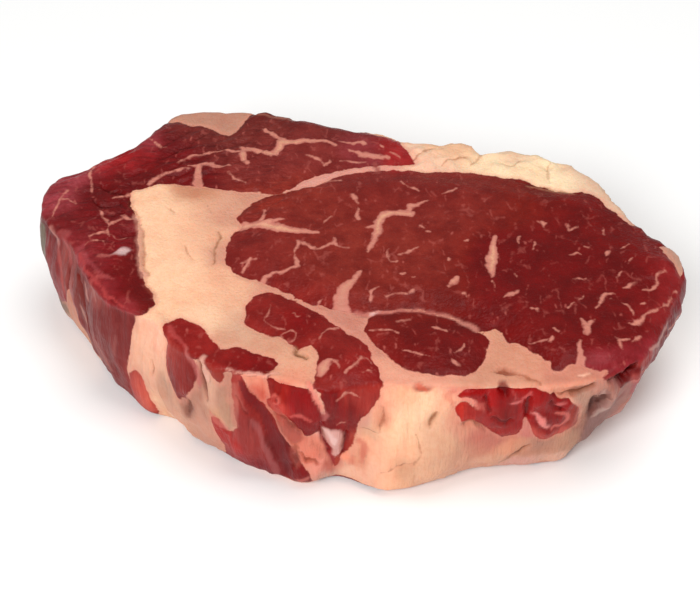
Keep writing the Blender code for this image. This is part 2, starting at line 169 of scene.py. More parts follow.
# Veins of fat on the cut face: width at the start, in the middle and at the end, then the vein's points.
VEINS = (
    # eye
    (0.9, 1.7, 1.0, (19.6, 16.1), (17, 14.9), (15.2, 14.5), (14.4, 12.5), (14.6, 10.3)),
    (2.2, 2.7, 0.9, (14.6, 11.1), (11, 11.7), (8, 10.9), (6.2, 8.4), (5.9, 4.4), (5.4, 1), (4.6, -1.2),
     (3.7, -3.4)),
    (0.8, 1.2, 1.6, (2.6, 5.5), (4, 5.8), (5.8, 6)),
    (1.3, 2.5, 2.8, (36.7, 2), (36.1, -1.4), (35.6, -5), (35.4, -7)),
    (2.8, 2.3, 0.8, (35.4, -7), (35.2, -10), (35.1, -13.6)),
    (0.4, 0.6, 0.4, (35.2, -15), (35.5, -16.4), (35.5, -17.6)),
    (2.6, 3.4, 1.2, (-34, 6.4), (-28, 7), (-24.6, 6.8), (-21.4, 6), (-18.4, 4.7), (-14.6, 4.1), (-10, 3.5)),
    (1.6, 1.4, 0.6, (-23.4, 7.6), (-20.6, 8.2), (-18.6, 8.6)),
    (1.0, 0.9, 0.8, (-14.4, -0.1), (-12.4, -1.7), (-10, -3.1), (-8, -2.2), (-6.2, -0.6), (-4.2, -1.8),
     (-1.4, -2)),
    (0.8, 0.8, 0.4, (-6.2, -1), (-5.6, 0.2), (-5.6, 1.4)),
    (1.3, 0.8, 1.2, (-14.2, -0.3), (-15.2, -3.7), (-15.3, -6.3), (-14.8, -9.3)),
    (0.8, 1.0, 1.9, (-14.8, -9.3), (-18, -10.7), (-21, -11.7), (-23, -12.7), (-24, -15.3)),
    (1.3, 0.8, 1.1, (-26.6, -6.9), (-28, -9), (-28.6, -10.6)),
    (0.7, 0.8, 0.4, (-25.2, -7.1), (-27.4, -7.5), (-29.6, -7.7)),
    (4.8, 3.2, 1.2, (-3.4, -25), (-3.2, -21.4), (-2.7, -18.2), (-1.4, -16.1), (0.4, -13.6), (1.4, -11.2)),
    (1.2, 1.2, 0.6, (4.1, -21.4), (4.3, -18.6), (6.2, -16.6)),
    (0.6, 0.9, 0.4, (-9.4, -22.4), (-8.6, -21.2), (-7.6, -20.8)),
    (1.4, 0.9, 0.5, (-0.4, 18.4), (0.2, 16.8), (1.2, 14.8)),
    (0.5, 0.8, 1.3, (1.2, 13), (0.8, 10.6), (1.2, 8.6)),
    (0.8, 1.0, 0.5, (23.4, 19.1), (25, 20.4), (27.2, 21.9)),
    (0.6, 0.8, 0.6, (12.6, 24.3), (15, 22.1), (17.4, 20.3)),
    (0.6, 0.8, 0.5, (-3.6, 26), (-7.6, 25), (-10.4, 23.5)),
    (1.6, 1.2, 0.8, (-24.2, 8.6), (-24, 10.6), (-24.2, 12.8)),
    (0.3, 0.5, 0.3, (43.2, 2), (43, 0.7), (42.8, -0.6)),
    (0.3, 0.6, 0.3, (47.6, -0.4), (46.8, -1.6), (46, -2.8)),
    (1.3, 1.2, 0.4, (49.2, 7.9), (49.5, 7.1), (49.6, 5.9)),
    (0.5, 0.7, 0.4, (48, 8.1), (49.4, 7.5), (51, 8.1)),
    (0.3, 0.5, 0.3, (56.4, 6.9), (56.6, 4.7), (58.8, 6.3)),
    (0.3, 0.5, 0.3, (65.6, 6.4), (65.7, 4.8), (65.4, 3)),
    (0.7, 1.0, 0.5, (65.9, -4), (65.7, -4.7), (65.4, -5.4)),
    (0.4, 0.7, 0.4, (69, -2.4), (70.2, -1.6), (71.4, -0.6)),
    (0.3, 0.5, 0.3, (72, -6.2), (71.2, -7.6), (70.6, -8.7)),
    (0.4, 0.5, 0.3, (55.6, -5), (57.2, -4.8), (58.6, -5.2)),
    (0.4, 0.7, 0.4, (60, -2.2), (60.7, -2.5), (61.3, -2.2)),
    (0.3, 0.6, 0.3, (69, -11.4), (68, -12.4), (67, -13.2)),
    (0.5, 0.6, 0.9, (77, -15), (77.5, -13), (78.6, -11.7), (79.5, -10.7)),
    (0.5, 1.0, 0.8, (73.4, -17.3), (75, -17.4), (76.2, -16.6), (77, -15)),
    (0.5, 0.7, 0.7, (82.1, -15.9), (80.4, -18.4), (78.8, -21.1), (76.3, -23.9)),
    (0.9, 1.1, 1.5, (76.3, -23.9), (73.9, -25.7), (71.8, -28.2), (70.6, -29.6)),
    (1.5, 1.3, 0.6, (70.9, -29.7), (70, -30.5), (68.8, -30.2)),
    (0.4, 0.9, 0.6, (67.4, -22.5), (69, -23.6), (69.6, -25), (69.9, -27.2)),
    (0.6, 1.2, 1.5, (60.8, -24.6), (62.4, -22.6), (63.3, -20.6), (63.7, -19.6)),
    (1.2, 1.0, 0.5, (63.5, -19.6), (64.7, -19.3), (66.2, -19.6)),
    (0.4, 0.6, 0.3, (64.2, -21.6), (65, -21.5), (65.8, -21.7)),
    (0.7, 0.9, 0.4, (68.2, -17.1), (69.4, -16.9), (70.6, -15.9), (72.4, -15.3)),
    (0.7, 1.8, 1.6, (56.2, -28.6), (57.1, -30.6), (57.5, -32.4), (57.5, -34.2)),
    (1.4, 0.9, 0.4, (57.6, -31.6), (58.4, -30.8), (59.9, -29.2)),
    (3.3, 1.8, 0.8, (55, -45.4), (55.4, -40.4), (55.6, -36.6)),
    (0.5, 0.9, 0.5, (64.4, -34.8), (66, -36), (67.8, -35.5)),
    (1.2, 0.9, 0.4, (65.4, -36), (65.7, -37.2), (66.4, -38.9)),
    (0.4, 0.8, 0.4, (68.7, -36.1), (69.9, -35.2), (71.2, -34.2)),
    (0.7, 1.9, 1.2, (23.8, -16.3), (25.6, -15.2), (26.3, -13.6)),
    (0.9, 1.6, 0.6, (44.6, -24.9), (45.5, -25.2), (45.6, -26.4)),
    (0.9, 1.5, 0.5, (38, -20.9), (38.8, -20.3), (40, -19.6), (41.4, -18.9)),
    (0.4, 0.6, 0.6, (43, -36), (45.4, -36), (47.6, -36)),
    (1.1, 1.3, 0.9, (48.4, -36.4), (48.7, -35.7), (48.9, -35)),
    (0.6, 1.0, 0.7, (49.1, -32.4), (49.7, -33), (50.3, -33.4)),
    (0.9, 1.1, 0.8, (24.4, -6), (24.6, -6.5), (24.4, -7)),
    (0.6, 0.8, 0.5, (41, -12.1), (41.2, -12.7), (41.4, -13.3)),
    (0.6, 1.0, 0.6, (16.8, 6.2), (17.4, 6), (18.2, 5.4)),
    (0.6, 0.9, 0.6, (18.6, 4.2), (19.2, 3.9), (20, 3.8)),
    (0.5, 1.1, 0.4, (11.8, -5), (13.8, -3.9), (15.2, -2.6), (16.6, -1.9)),
    (0.4, 0.6, 0.3, (8.9, -3), (9, -5.4), (9.2, -7.6), (10.8, -7.2)),
    (0.6, 0.8, 0.5, (11.8, -12.1), (12.3, -12.3), (12.8, -12.1)),
    (0.6, 0.8, 0.5, (14.9, -13.8), (15.3, -13.8), (15.6, -13.6)),
    (0.6, 0.8, 0.5, (14, -18.6), (14.6, -18.4), (15.2, -18)),
    (0.3, 0.5, 0.3, (7.6, -19.6), (10.4, -18.9), (13.4, -19.1)),
    (0.5, 0.8, 0.4, (28.8, 0.1), (29.4, 0.3), (30, 0.8)),
    (0.3, 0.4, 0.3, (27, -19.2), (28, -19.6), (28.6, -20.6)),
    (0.4, 0.7, 0.4, (59.5, -16.9), (60, -16.7), (60.4, -16.5)),
    (0.4, 0.7, 0.3, (56.4, -21.4), (57.2, -20.9), (57.6, -20)),
    (0.4, 0.6, 0.3, (54, -24.6), (54.8, -23.8), (55.4, -22.8)),
    (0.4, 0.6, 0.3, (56, -14), (57.6, -13.7), (58.8, -13.4)),
    (0.4, 0.7, 0.4, (72.4, -23.3), (72.9, -23), (73.3, -22.6)),
    (0.4, 0.6, 0.3, (-6, 10.3), (-7, 8.6), (-8.2, 6.8)),
    # oval
    (0.5, 0.7, 0.4, (4, -31.2), (8, -31.4), (11, -32.7)),
    (1.0, 1.3, 0.8, (19.6, -30.7), (21.4, -31.4), (23, -32.2)),
    (0.5, 0.8, 0.4, (12, -38.8), (15.4, -39.5), (18, -40.7)),
    (0.7, 0.9, 0.6, (24.4, -39.5), (25.6, -38.6), (27, -37.3)),
    (0.7, 1.0, 0.5, (23.4, -41.5), (24.4, -42.6), (25, -43.3)),
    (0.4, 0.7, 0.4, (10, -28.4), (12, -27.8), (14, -27.4)),
    # cap
    (0.7, 1.9, 1.3, (-25.6, 48.6), (-24.6, 46.4), (-22, 45), (-19.4, 43.2)),
    (3.0, 2.0, 0.9, (-20.4, 42.2), (-16, 42.3), (-10, 42.4), (-7, 42), (-5.2, 40.4)),
    (2.4, 2.4, 1.5, (-20, 42), (-21, 39.4), (-22.8, 37.2), (-25.6, 38), (-28.4, 38.4), (-31, 38.6)),
    (0.7, 2.6, 1.2, (-31.6, 40.6), (-30.6, 37.6), (-30.4, 35), (-29.6, 32.8)),
    (1.2, 0.9, 0.6, (-31.4, 38), (-36, 38.2), (-41, 37.2), (-45, 35.4), (-48.6, 33.1)),
    (1.8, 2.3, 3.0, (-42.4, 31.9), (-42.4, 28.8), (-42.4, 26.2), (-42.2, 23.8)),
    (0.7, 1.8, 0.7, (-45.2, 31.7), (-42, 32.2), (-38, 31.9), (-34, 31.5)),
    (1.2, 0.9, 0.7, (-55.6, 24.5), (-53.4, 27.4), (-50, 29.3), (-45.4, 30.3)),
    (0.5, 0.8, 0.7, (-34.6, 28.9), (-31.4, 26.1), (-29.4, 24.1)),
    (0.6, 1.0, 0.5, (-56.6, 44), (-54.4, 40.7), (-52, 39.3)),
    (0.6, 0.9, 0.4, (-71, 34.9), (-72, 29.5), (-71.4, 24.8), (-71, 21.2)),
    (0.5, 0.9, 0.6, (-77, 21.5), (-78.6, 17.9), (-79.6, 14.3), (-80.2, 11.2)),
    (0.5, 0.8, 0.4, (-78.2, 18.5), (-75.8, 17), (-74.2, 16.2)),
    (1.6, 1.0, 0.5, (-59.5, 20.6), (-62, 19.4), (-65, 18.6)),
    (1.2, 1.2, 1.4, (-62, 11.1), (-60, 10.1), (-57, 10.4)),
    (0.8, 0.8, 0.5, (-61, 10.5), (-64, 7.5), (-64.8, 4.4), (-63.8, 2.1)),
    (0.5, 1.0, 0.5, (-64.4, 3.2), (-67, 4), (-69.4, 2.9)),
    (0.4, 0.7, 0.4, (-65.4, 0.4), (-68, 0.9), (-70.4, -0.4)),
    (0.4, 0.7, 0.4, (-67.4, 13), (-66, 9.9), (-64.4, 6.8)),
    (0.4, 0.6, 0.3, (-63.4, 2.5), (-61.4, 1.9), (-60, 3.3)),
    (0.7, 1.1, 0.5, (-13, 36.9), (-9.6, 35.1), (-7.4, 32.8)),
    (0.5, 0.9, 0.5, (-7.2, 35.3), (-6.8, 34.1), (-8, 32.7)),
    (0.5, 1.2, 2.0, (-4.4, 42.6), (-1.4, 41.6), (2.4, 41.4)),
    (0.8, 2.0, 1.2, (-1, 38.6), (4, 36.6), (9.6, 35.4)),
    (0.5, 0.8, 0.5, (-3.6, 34.9), (0, 34.5), (3, 33.9)),
    (0.5, 1.0, 0.6, (10, 37.9), (11.4, 37), (12.4, 36)),
    (0.9, 1.0, 0.8, (7, 40.8), (7.4, 40.4), (7.8, 39.9)),
    # chain
    (0.3, 0.45, 0.4, (-21.6, -22.1), (-21.2, -25.8), (-22.4, -27.9), (-20.4, -29.8), (-17.8, -31.1)),
    (0.3, 0.4, 0.3, (-15.4, -26), (-14.6, -27.1), (-13.6, -26.7)),
    (0.5, 0.55, 0.4, (-18.2, -32.6), (-16, -31.8), (-14.6, -33.1), (-15.2, -35), (-17.2, -35),
     (-18.4, -33)),
    (0.8, 0.5, 0.3, (-4, -30.9), (-7, -31.7), (-8.4, -34.5), (-8, -36.7)),
    (2.2, 3.6, 2.4, (-8.4, -46.2), (-7.6, -44.4), (-6.8, -43)),
    (0.8, 0.9, 0.6, (-6.8, -42.2), (-4.8, -42.6), (-3.6, -45)),
    (0.6, 0.9, 0.5, (-2, -46.8), (0.4, -43.1), (1.6, -41.3)),
    (0.4, 0.5, 0.3, (1.6, -41.5), (3.2, -41.2), (4, -42.4)),
    (0.5, 0.6, 0.5, (2, -46), (3.2, -45), (4, -45.9)),
)

# Streaks of fat through the lean of the wall, in u and v, as VEINS are.
WALL_VEINS = (
    (0.8, 1.0, 0.8, (113, 12.6), (114, 12.2), (115, 12.6)),
    (0.5, 0.9, 0.5, (112, 3.4), (114.6, 2.2), (117.6, 3.4)),
    (0.5, 1.2, 0.6, (-44, 0), (-36, 5), (-30, 12)),
    (0.5, 1.0, 0.5, (-20, 1), (-16, 9), (-17, 19)),
    (0.5, 1.0, 0.5, (343, 2), (350, 7), (352, 14)),
    (0.5, 1.0, 0.5, (362, 2), (361, 8), (367, 14)),
    (0.4, 0.9, 0.4, (265, 15), (268, 20), (267, 27)),
    (0.5, 1.1, 0.5, (204, 4), (212, 6), (226, 7)),
)

# Cracks and folds, darkened as painted shade: width and depth, then the points, on the cut face and on the
# wall.
FACE_CRACKS = (
    (0.7, 0.5, (-60.4, 18.3), (-59.6, 14.7), (-57.8, 12.5), (-57, 10.8)),
    (0.5, 0.4, (-62.6, 16.7), (-60.8, 14), (-60, 12.3)),
    (0.55, 0.45, (-56.4, 7.9), (-55.6, 4.8), (-55.1, 1.8), (-55, -1.2), (-54.6, -5.1), (-53.8, -8.9),
     (-53.1, -11.8)),
    (0.4, 0.3, (-49, 13.9), (-48.4, 12.8), (-47.8, 11.7)),
    (0.5, 0.25, (-36, 4.7), (-35.2, 2.3), (-36.1, -1.3), (-36.5, -4.2), (-36.6, -7.5)),
    (0.4, 0.25, (-44.2, -0.5), (-43.2, -3.4), (-42, -6.3)),
    (0.4, 0.25, (-39.8, 17), (-38.6, 14.7), (-38, 12.8)),
    (1.0, 0.9, (-14.4, -37.4), (-13.8, -39.6), (-12, -41.2)),
    (0.6, 0.35, (16.4, 35), (19, 39), (23, 41)),
    (0.6, 0.35, (24, 33.6), (27, 36), (31.4, 37)),
    (0.7, 0.45, (32, 33.4), (34, 36), (36, 40)),
    (0.5, 0.3, (40, 34), (44, 33), (46, 36)),
    (0.5, 0.3, (53, 26), (52.6, 31), (54, 34)),
    (0.6, 0.35, (44, 26), (50, 24.3), (56, 22.4), (60.6, 21)),
    (1.6, 0.9, (34.8, -44.8), (36.6, -44.2), (38.6, -45.2)),
    (0.7, 0.5, (38, -45), (41, -46.6), (45, -48)),
    (1.0, 0.9, (-69.6, 16.9), (-66, 15.1), (-62.6, 16.1)),
    (0.9, 0.7, (-68, 23.8), (-65, 21.3), (-61.4, 20)),
    (0.7, 0.5, (-58, 31.8), (-52, 35.2), (-46, 40.9), (-41, 46.3)),
    (0.6, 0.4, (-50, 30.4), (-46, 33.7), (-40, 35.4)),
    (0.6, 0.5, (-55, 37.9), (-49, 44), (-45, 48.9)),
    (0.6, 0.4, (-72, 10.7), (-66, 11), (-62, 12.5)),
)
WALL_CRACKS = (
    (1.0, 0.9, (28, 4), (31, 9), (33, 15), (34.4, 22)),
    (0.8, 0.7, (20.6, 5), (22, 10), (23.6, 16)),
    (0.9, 1.0, (75.8, 1), (76.8, 5), (77.8, 8), (79, 11.6)),
    (1.8, 0.8, (73.2, 15.8), (73, 18.6), (72, 21.6)),
    (0.6, 0.35, (86.6, 8.6), (88.4, 11), (89.6, 13.4)),
    (0.8, 0.8, (108.4, 13), (109.2, 19), (110.2, 25)),
    (0.8, 0.8, (114.8, 17), (115, 21), (114.2, 26)),
    (0.6, 0.5, (123.8, 6.6), (124, 11), (123.8, 15)),
    (0.5, 0.3, (119, 14.6), (121.6, 15.2), (124, 15)),
    (0.4, 0.25, (132, 15), (133, 20), (132.2, 26)),
    (0.4, 0.25, (131.6, 25.4), (128, 27), (124, 29)),
    (0.6, 0.6, (137, 8.6), (136.6, 10.6), (136.2, 13)),
    (0.6, 0.5, (161.4, 25.8), (159, 27.6), (156.4, 29.6)),
    (0.7, 0.6, (144, 13), (147, 15), (150, 16.6)),
    (1.4, 1.4, (152.6, -1.6), (152.8, 1), (153.2, 4.6)),
    (0.7, 0.8, (149, 4.6), (149.6, 8), (150.8, 11)),
    (0.9, 0.9, (159.8, 5), (159.2, 9), (160.4, 14)),
    (0.6, 0.6, (165, 8), (166.6, 10), (168.6, 11)),
    (0.6, 0.6, (151, 13), (153, 14), (156, 13)),
    (2.6, 1.6, (179.3, 8.4), (179.6, 11.6), (179.5, 15)),
    (1.6, 1.2, (177.3, 8), (177.4, 11.4), (178.2, 15)),
    (1.4, 1.0, (166, 5.2), (170, 5.2), (173.6, 4.4), (175.8, 2)),
    (1.8, 1.6, (180.4, 3), (182.6, 2.6), (184.4, 4.4)),
    (1.6, 1.5, (184.6, 2.4), (186.4, 1.4), (189, -0.4)),
    (1.0, 0.9, (102, 21), (102.6, 25), (101.6, 29)),
    (0.8, 0.7, (103.4, 23.4), (105.4, 26.4), (107.6, 28.6)),
    (0.8, 0.7, (96, 12), (100, 12.4), (103, 17)),
    (0.8, 0.7, (58.4, 13.4), (59, 15), (58.6, 17)),
    (0.8, 0.7, (250, 4), (253, 12), (251, 22)),
    (0.9, 0.8, (283, 2), (286, 10), (284, 24)),
    (0.8, 0.7, (299, 3), (297, 14), (302, 24)),
    (0.8, 0.7, (330, 2), (333, 13), (330, 26)),
    (0.9, 0.7, (-50, 6), (-47, 16), (-50, 28)),
    (0.8, 0.7, (-8, 2), (-5, 12), (-9, 24)),
)

# Lumps and hollows the hand can feel: u, v, reach along and down, and how far the surface moves out.
WALL_LUMPS = (
    (111.8, 19.4, 2.9, 5.4, 2.1),    # pale end of a vessel
    (97.4, 6.4, 2.4, 2.4, 1.0),
    (103, 6, 3.4, 5, 0.9),
    (105, 13, 2.4, 3, 0.7),
    (98.6, 15, 2.4, 4, 0.5),
    (105, 24, 2.6, 3, 0.8),
    (108, 29, 2, 4, 0.6),
    (113, 6, 5, 8, 0.9),
    (122, 4, 2.2, 4, 0.7),
    (89, 13, 2.4, 6, 0.8),
    (91.6, 9.5, 1.8, 4, -0.9),       # dark groove between two muscles
    (94, 15, 2.0, 5, -1.1),
    (97, 23, 2.2, 5, -1.1),
    (99.6, 31, 2.4, 5, -1.0),
    (88, 26, 4.5, 8, 1.0),
    (67, 5, 4.5, 9, 0.9),
    (81.2, 1.6, 1.8, 3.5, 0.9),
    (80, 9, 1.6, 5, 0.5),
    (83.4, 11, 2, 7, 0.6),
    (52, 28, 3, 6, 0.9),
    (56, 10, 4, 12, 0.5),
    (1, 12, 6, 7, 1.0),
    (21, 10, 2.2, 12, 0.9),
    (31, 12, 2.2, 9, -0.8),
    (40, 8, 6, 9, 0.6),
    (128, 10, 4, 8, 0.7),
    (127, 20, 4.4, 6, 0.6),
    (137, 24, 5, 7, 0.6),
    (121, 13, 2.2, 3, 0.7),
    (118, 26, 4, 4, 0.5),
    (145, 2.8, 2.6, 1.7, 1.0),
    (143, 9.6, 1.6, 2.6, 1.0),
    (147.4, 10.4, 1.8, 2.6, 0.8),
    (148, 3, 1.4, 2, 0.6),
    (155.8, 3.4, 1.8, 2.6, 0.9),
    (158.6, 3.6, 1.3, 2.2, 0.8),
    (153, 13, 3.2, 3.6, 1.0),
    (156, 18, 2.6, 2.4, 0.7),
    (162.6, 7, 2.2, 3, 0.9),
    (164, 15, 1.8, 2.6, 1.1),
    (169, 15, 2.4, 3.6, 0.9),
    (170, 10, 1.6, 2, 0.7),
    (165, 20.4, 3, 1.6, 0.6),
    (150, 27, 6, 6, 0.5),
    (166, 28, 6, 4, 0.5),
    (171, 1, 5, 1.5, 1.0),
    (175.6, -1.4, 2.6, 1.4, 1.0),
    (182.6, 3.4, 2.0, 1.6, -1.5),    # hollow under the flap of the eye
    (187, 1.4, 1.8, 1.5, -1.5),
    (184, -1.4, 5, 1.1, 0.9),
    (188.6, 5, 1.8, 2.6, 0.8),
    (178, 13, 2.4, 5, -0.9),
    (182.2, 9, 1.2, 6, 0.7),
    (189, 14, 3.6, 8, 2.2),
    (190, 23, 3.4, 4, 1.2),
    (205, 5, 9, 8, -1.3),
    (258, 2, 6, 5, -1.0),
    (288, 2, 6, 5, -1.2),
    (369, 2, 7, 5, -1.0),
    (-52, 2, 7, 5, -1.0),
)

# Where the foot of the wall draws in: u, reach along, height it fades out at, and how far in.
FOOT_TUCKS = (
    (53.5, 4.5, 14, -1.8),
    (64, 4.5, 10, 1.6),
    (77, 6, 10, 1.0),
    (145, 14, 10, 2.2),
    (178, 5, 11, 4.4),
    (185.5, 6.5, 15, 9.5),
)


# ---------------------------------------------------------------- curves
def smooth(points, closed=False, steps=4):
    """A Catmull-Rom curve through the points."""
    points = np.array(points, float)
    if closed:
        padded = np.vstack([points[-1:], points, points[:2]])
    else:
        padded = np.vstack([2 * points[:1] - points[1:2], points, 2 * points[-1:] - points[-2:-1]])
    before, start, end, after = padded[:-3], padded[1:-2], padded[2:-1], padded[3:]
    curve = []
    for i in range(len(start)):
        for step in range(steps):
            t = step / steps
            curve.append(0.5 * (2 * start[i] + (end[i] - before[i]) * t
                                + (2 * before[i] - 5 * start[i] + 4 * end[i] - after[i]) * t ** 2
                                + (3 * start[i] - 3 * end[i] + after[i] - before[i]) * t ** 3))
    if not closed:
        curve.append(points[-1])
    return np.array(curve)


def nearest_on(places, curve, closed=False):
    """For each place, how far the curve is and how far along it the nearest point lies, from 0 to 1."""
    ends = np.roll(curve, -1, 0) if closed else curve[1:]
    starts = curve if closed else curve[:-1]
    steps = ends - starts
    sizes = np.linalg.norm(steps, axis=1)
    travelled = np.concatenate([[0], np.cumsum(sizes)])
    best = np.full(len(places), np.inf)
    along = np.zeros(len(places))
    for start, step, size, passed in zip(starts, steps, sizes, travelled):
        if size < TINY:
            continue
        offset = places - start
        share = np.clip((offset @ step) / size ** 2, 0, 1)
        gap = offset - share[:, None] * step
        distance = np.einsum("ij,ij->i", gap, gap)
        closer = distance < best
        best[closer] = distance[closer]
        along[closer] = (passed + share * size)[closer]
    return np.sqrt(best), along / travelled[-1]


def inside(places, loop):
    """Whether each place is inside the closed loop."""
    within = np.zeros(len(places), bool)
    x, y = places[:, 0], places[:, 1]
    for (ax, ay), (bx, by) in zip(loop, np.roll(loop, -1, 0)):
        if ay == by:
            continue
        crosses = ((ay > y) != (by > y)) & (x < ax + (y - ay) * (bx - ax) / (by - ay))
        within ^= crosses
    return within


def close_to(places, curve, reach):
    """Whether each place is within reach of the box round the curve."""
    return np.all((places > curve.min(0) - reach) & (places < curve.max(0) + reach), axis=1)


def depth_in(places, outline):
    """How far inside the outline each place lies, in millimetres, negative outside."""
    loop = smooth(outline, closed=True)
    depth = np.full(len(places), -OUTLINE_REACH)
    near = close_to(places, loop, OUTLINE_REACH)
    if near.any():
        distance, _ = nearest_on(places[near], loop, closed=True)
        depth[near] = np.where(inside(places[near], loop), distance, -distance)
    return np.clip(depth, -OUTLINE_REACH, OUTLINE_REACH)


def depth_in_stroke(places, widths, points):
    """How far inside a stroke of tapering width each place lies, negative outside."""
    curve = smooth(points)
    depth = np.full(len(places), -STROKE_REACH)
    near = close_to(places, curve, STROKE_REACH)
    if near.any():
        distance, along = nearest_on(places[near], curve)
        half = np.interp(along, np.linspace(0, 1, len(widths)), widths) / 2
        depth[near] = half - distance
    return np.maximum(depth, -STROKE_REACH)


def depth_in_veins(places, veins):
    """How far inside the nearest of the veins each place lies, negative outside."""
    depth = np.full(len(places), -STROKE_REACH)
    for first, middle, last, *points in veins:
        depth = np.maximum(depth, depth_in_stroke(places, (first, middle, last), points))
    return depth


def ease(values, low, high):
    """0 below low and 1 above high, with a soft start and end."""
    t = np.clip((values - low) / (high - low), 0, 1)
    return t * t * (3 - 2 * t)


def ripple(places, size, seed=0.0):
    """Smooth noise with features of this size in millimetres, from about -1 to 1."""
    return np.array([noise.noise(p) for p in (places / size + seed).tolist()])


def ridge(places, size, seed=0.0, top=0.22):
    """Smooth noise with sharp ridges about this far apart in millimetres, and soft valleys below 0."""
    return top - np.abs(ripple(places, size, seed))


def stray(places, size, reach, seed=0.0):
    """How far each place strays sideways, so that no edge or vein of the meat runs too evenly."""
    moves = np.array([noise.noise_vector(p) for p in (places / size + seed).tolist()])
    return reach * moves[:, :2]


# ---------------------------------------------------------------- where each vertex lies on the steak
RIM_LOOP = smooth(RIM, closed=True, steps=10)
RIM_LENGTH = np.linalg.norm(np.roll(RIM_LOOP, -1, 0) - RIM_LOOP, axis=1).sum()
RIM_STEP = 0.5         # how far before and behind a place the rim's direction is read
UNDER_SPREAD = np.array([1.05, 1.06])      # the underside shows the same muscles, a little larger
UNDER_MIDDLE = np.array([0, -2])


def rim_at(distance):
    """The rim's point this far along it."""
    closed = np.vstack([RIM_LOOP, RIM_LOOP[:1]])
    travelled = np.concatenate([[0], np.cumsum(np.linalg.norm(np.diff(closed, axis=0), axis=1))])
    return np.stack([np.interp(distance % RIM_LENGTH, travelled, closed[:, i]) for i in range(2)], 1)


def inward_from_rim(along):
    """The direction from the rim into the steak, on the plan."""
    ahead = rim_at(along + RIM_STEP)
    behind = rim_at(along - RIM_STEP)
    inward = np.stack([behind[:, 1] - ahead[:, 1], ahead[:, 0] - behind[:, 0]], 1)
    return inward / np.linalg.norm(inward, axis=1)[:, None]


def read_vectors(values, name):
    """The three numbers of each vertex, one row for each."""
    flat = np.zeros(len(values) * 3)
    values.foreach_get(name, flat)
    return flat.reshape(-1, 3)


def survey(mesh):
    """Where every vertex lies on the plan and the wall, and how much of it is wall, cut face or underside."""
    places = read_vectors(mesh.vertices, "co") / MM + ORIGIN
    normals = read_vectors(mesh.vertex_normals, "vector")
    plan, height = places[:, :2], places[:, 2]
    distance, share = nearest_on(plan, RIM_LOOP, closed=True)
    within = np.where(inside(plan, RIM_LOOP), distance, -distance)
    along = share * RIM_LENGTH
    inward = inward_from_rim(along)
    u = np.where(along > RIM_LENGTH - WRAP, along - RIM_LENGTH, along)
    # v runs on inwards over the rounded rim, and is negative there
    v = (THICKNESS - height) - np.maximum(within, 0) * ease(height, 28, 34)
    # the underside is what lies low and faces down
    under = ease(-normals[:, 2], 0.35, 0.85) * ease(-height, -9, -2)
    # the wall carries the muscles down from just inside the rim
    beside_rim = (within < INSET) & (height > 8)
    column = np.where(beside_rim[:, None], rim_at(along) + inward * INSET, plan)
    enlarged = (plan - UNDER_MIDDLE) * UNDER_SPREAD + UNDER_MIDDLE
    column = np.where(under[:, None] > 0, enlarged, column)
    upright = places * [1, 1, 0.4]
    astray = stray(upright, 3.6, 0.75) + stray(upright, 1.3, 0.3, 5.0)
    return {
        "places": places,
        "normals": normals,
        "inward": inward,
        "within": within,
        "height": height,
        "u": u,
        "v": v,
        "plan": column + astray,
        "wall": np.stack([u, v], 1) + astray * [1.3, 2.0],
        "side": ease(v, -0.4, 1.6) * (1 - under),
        "under": under,
        "top": ease(-v, -0.5, 1.5) * (1 - under),
    }


def pattern(at):
    """Depth in lean, in a vein and in a crack at every vertex, in millimetres."""
    plan, wall, side, under = at["plan"], at["wall"], at["side"], at["under"]
    face_lean = np.max([depth_in(plan, outline) for outline in MUSCLES], axis=0) + FACE_SWELL
    wall_lean = np.max([depth_in(wall, outline) for outline in WALL_LEAN], axis=0) + WALL_SWELL
    lean = face_lean * (1 - side) + wall_lean * side
    vein = depth_in_veins(plan, VEINS) * (1 - side) + depth_in_veins(wall, WALL_VEINS) * side
    vein += 0.2 * ripple(at["places"], 2.6, 8.3) + 0.16 * ripple(at["places"], 1.1, 3.9)
    crack = np.full(len(plan), -STROKE_REACH)
    cut = np.zeros(len(plan))
    for strokes, where, share in ((FACE_CRACKS, plan, 1 - side - under), (WALL_CRACKS, wall, side)):
        for width, deep, *points in strokes:
            depth = depth_in_stroke(where, (0.3 * width, width, 0.3 * width), points)
            crack = np.maximum(crack, np.where(share > 0.5, depth, -STROKE_REACH))
            cut = np.maximum(cut, deep * np.exp(-(np.maximum(-depth, 0) / CRACK_LIP) ** 2) * share)
    return {"lean": lean, "vein": vein, "crack": crack, "cut": cut}


# ---------------------------------------------------------------- the meat
def make_active(piece):
    bpy.ops.object.select_all(action="DESELECT")
    piece.select_set(True)
    bpy.context.view_layer.objects.active = piece


def apply_modifier(piece, kind, **settings):
    modifier = piece.modifiers.new(kind.lower(), kind)
    for name, value in settings.items():
        setattr(modifier, name, value)
    make_active(piece)
    bpy.ops.object.modifier_apply(modifier=modifier.name)


def rounded_copy(node_name, new_name):
    """A copy of a CAD node's mesh: doubles merged, triangles paired and facets rounded off."""
    piece = bpy.data.objects.new(new_name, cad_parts[node_name].data.copy())
    bpy.context.scene.collection.objects.link(piece)
    make_active(piece)
    bpy.ops.object.mode_set(mode="EDIT")
    bpy.ops.mesh.select_all(action="SELECT")
    bpy.ops.mesh.remove_doubles(threshold=0.01 * MM)
    bpy.ops.mesh.tris_convert_to_quads()
    bpy.ops.object.mode_set(mode="OBJECT")
    apply_modifier(piece, "SUBSURF", levels=1, render_levels=1)
    return piece


def lay_on(piece, mould):
    """Brings the piece's vertices onto the mould's surface."""
    apply_modifier(piece, "SHRINKWRAP", target=mould, wrap_method="NEAREST_SURFACEPOINT")


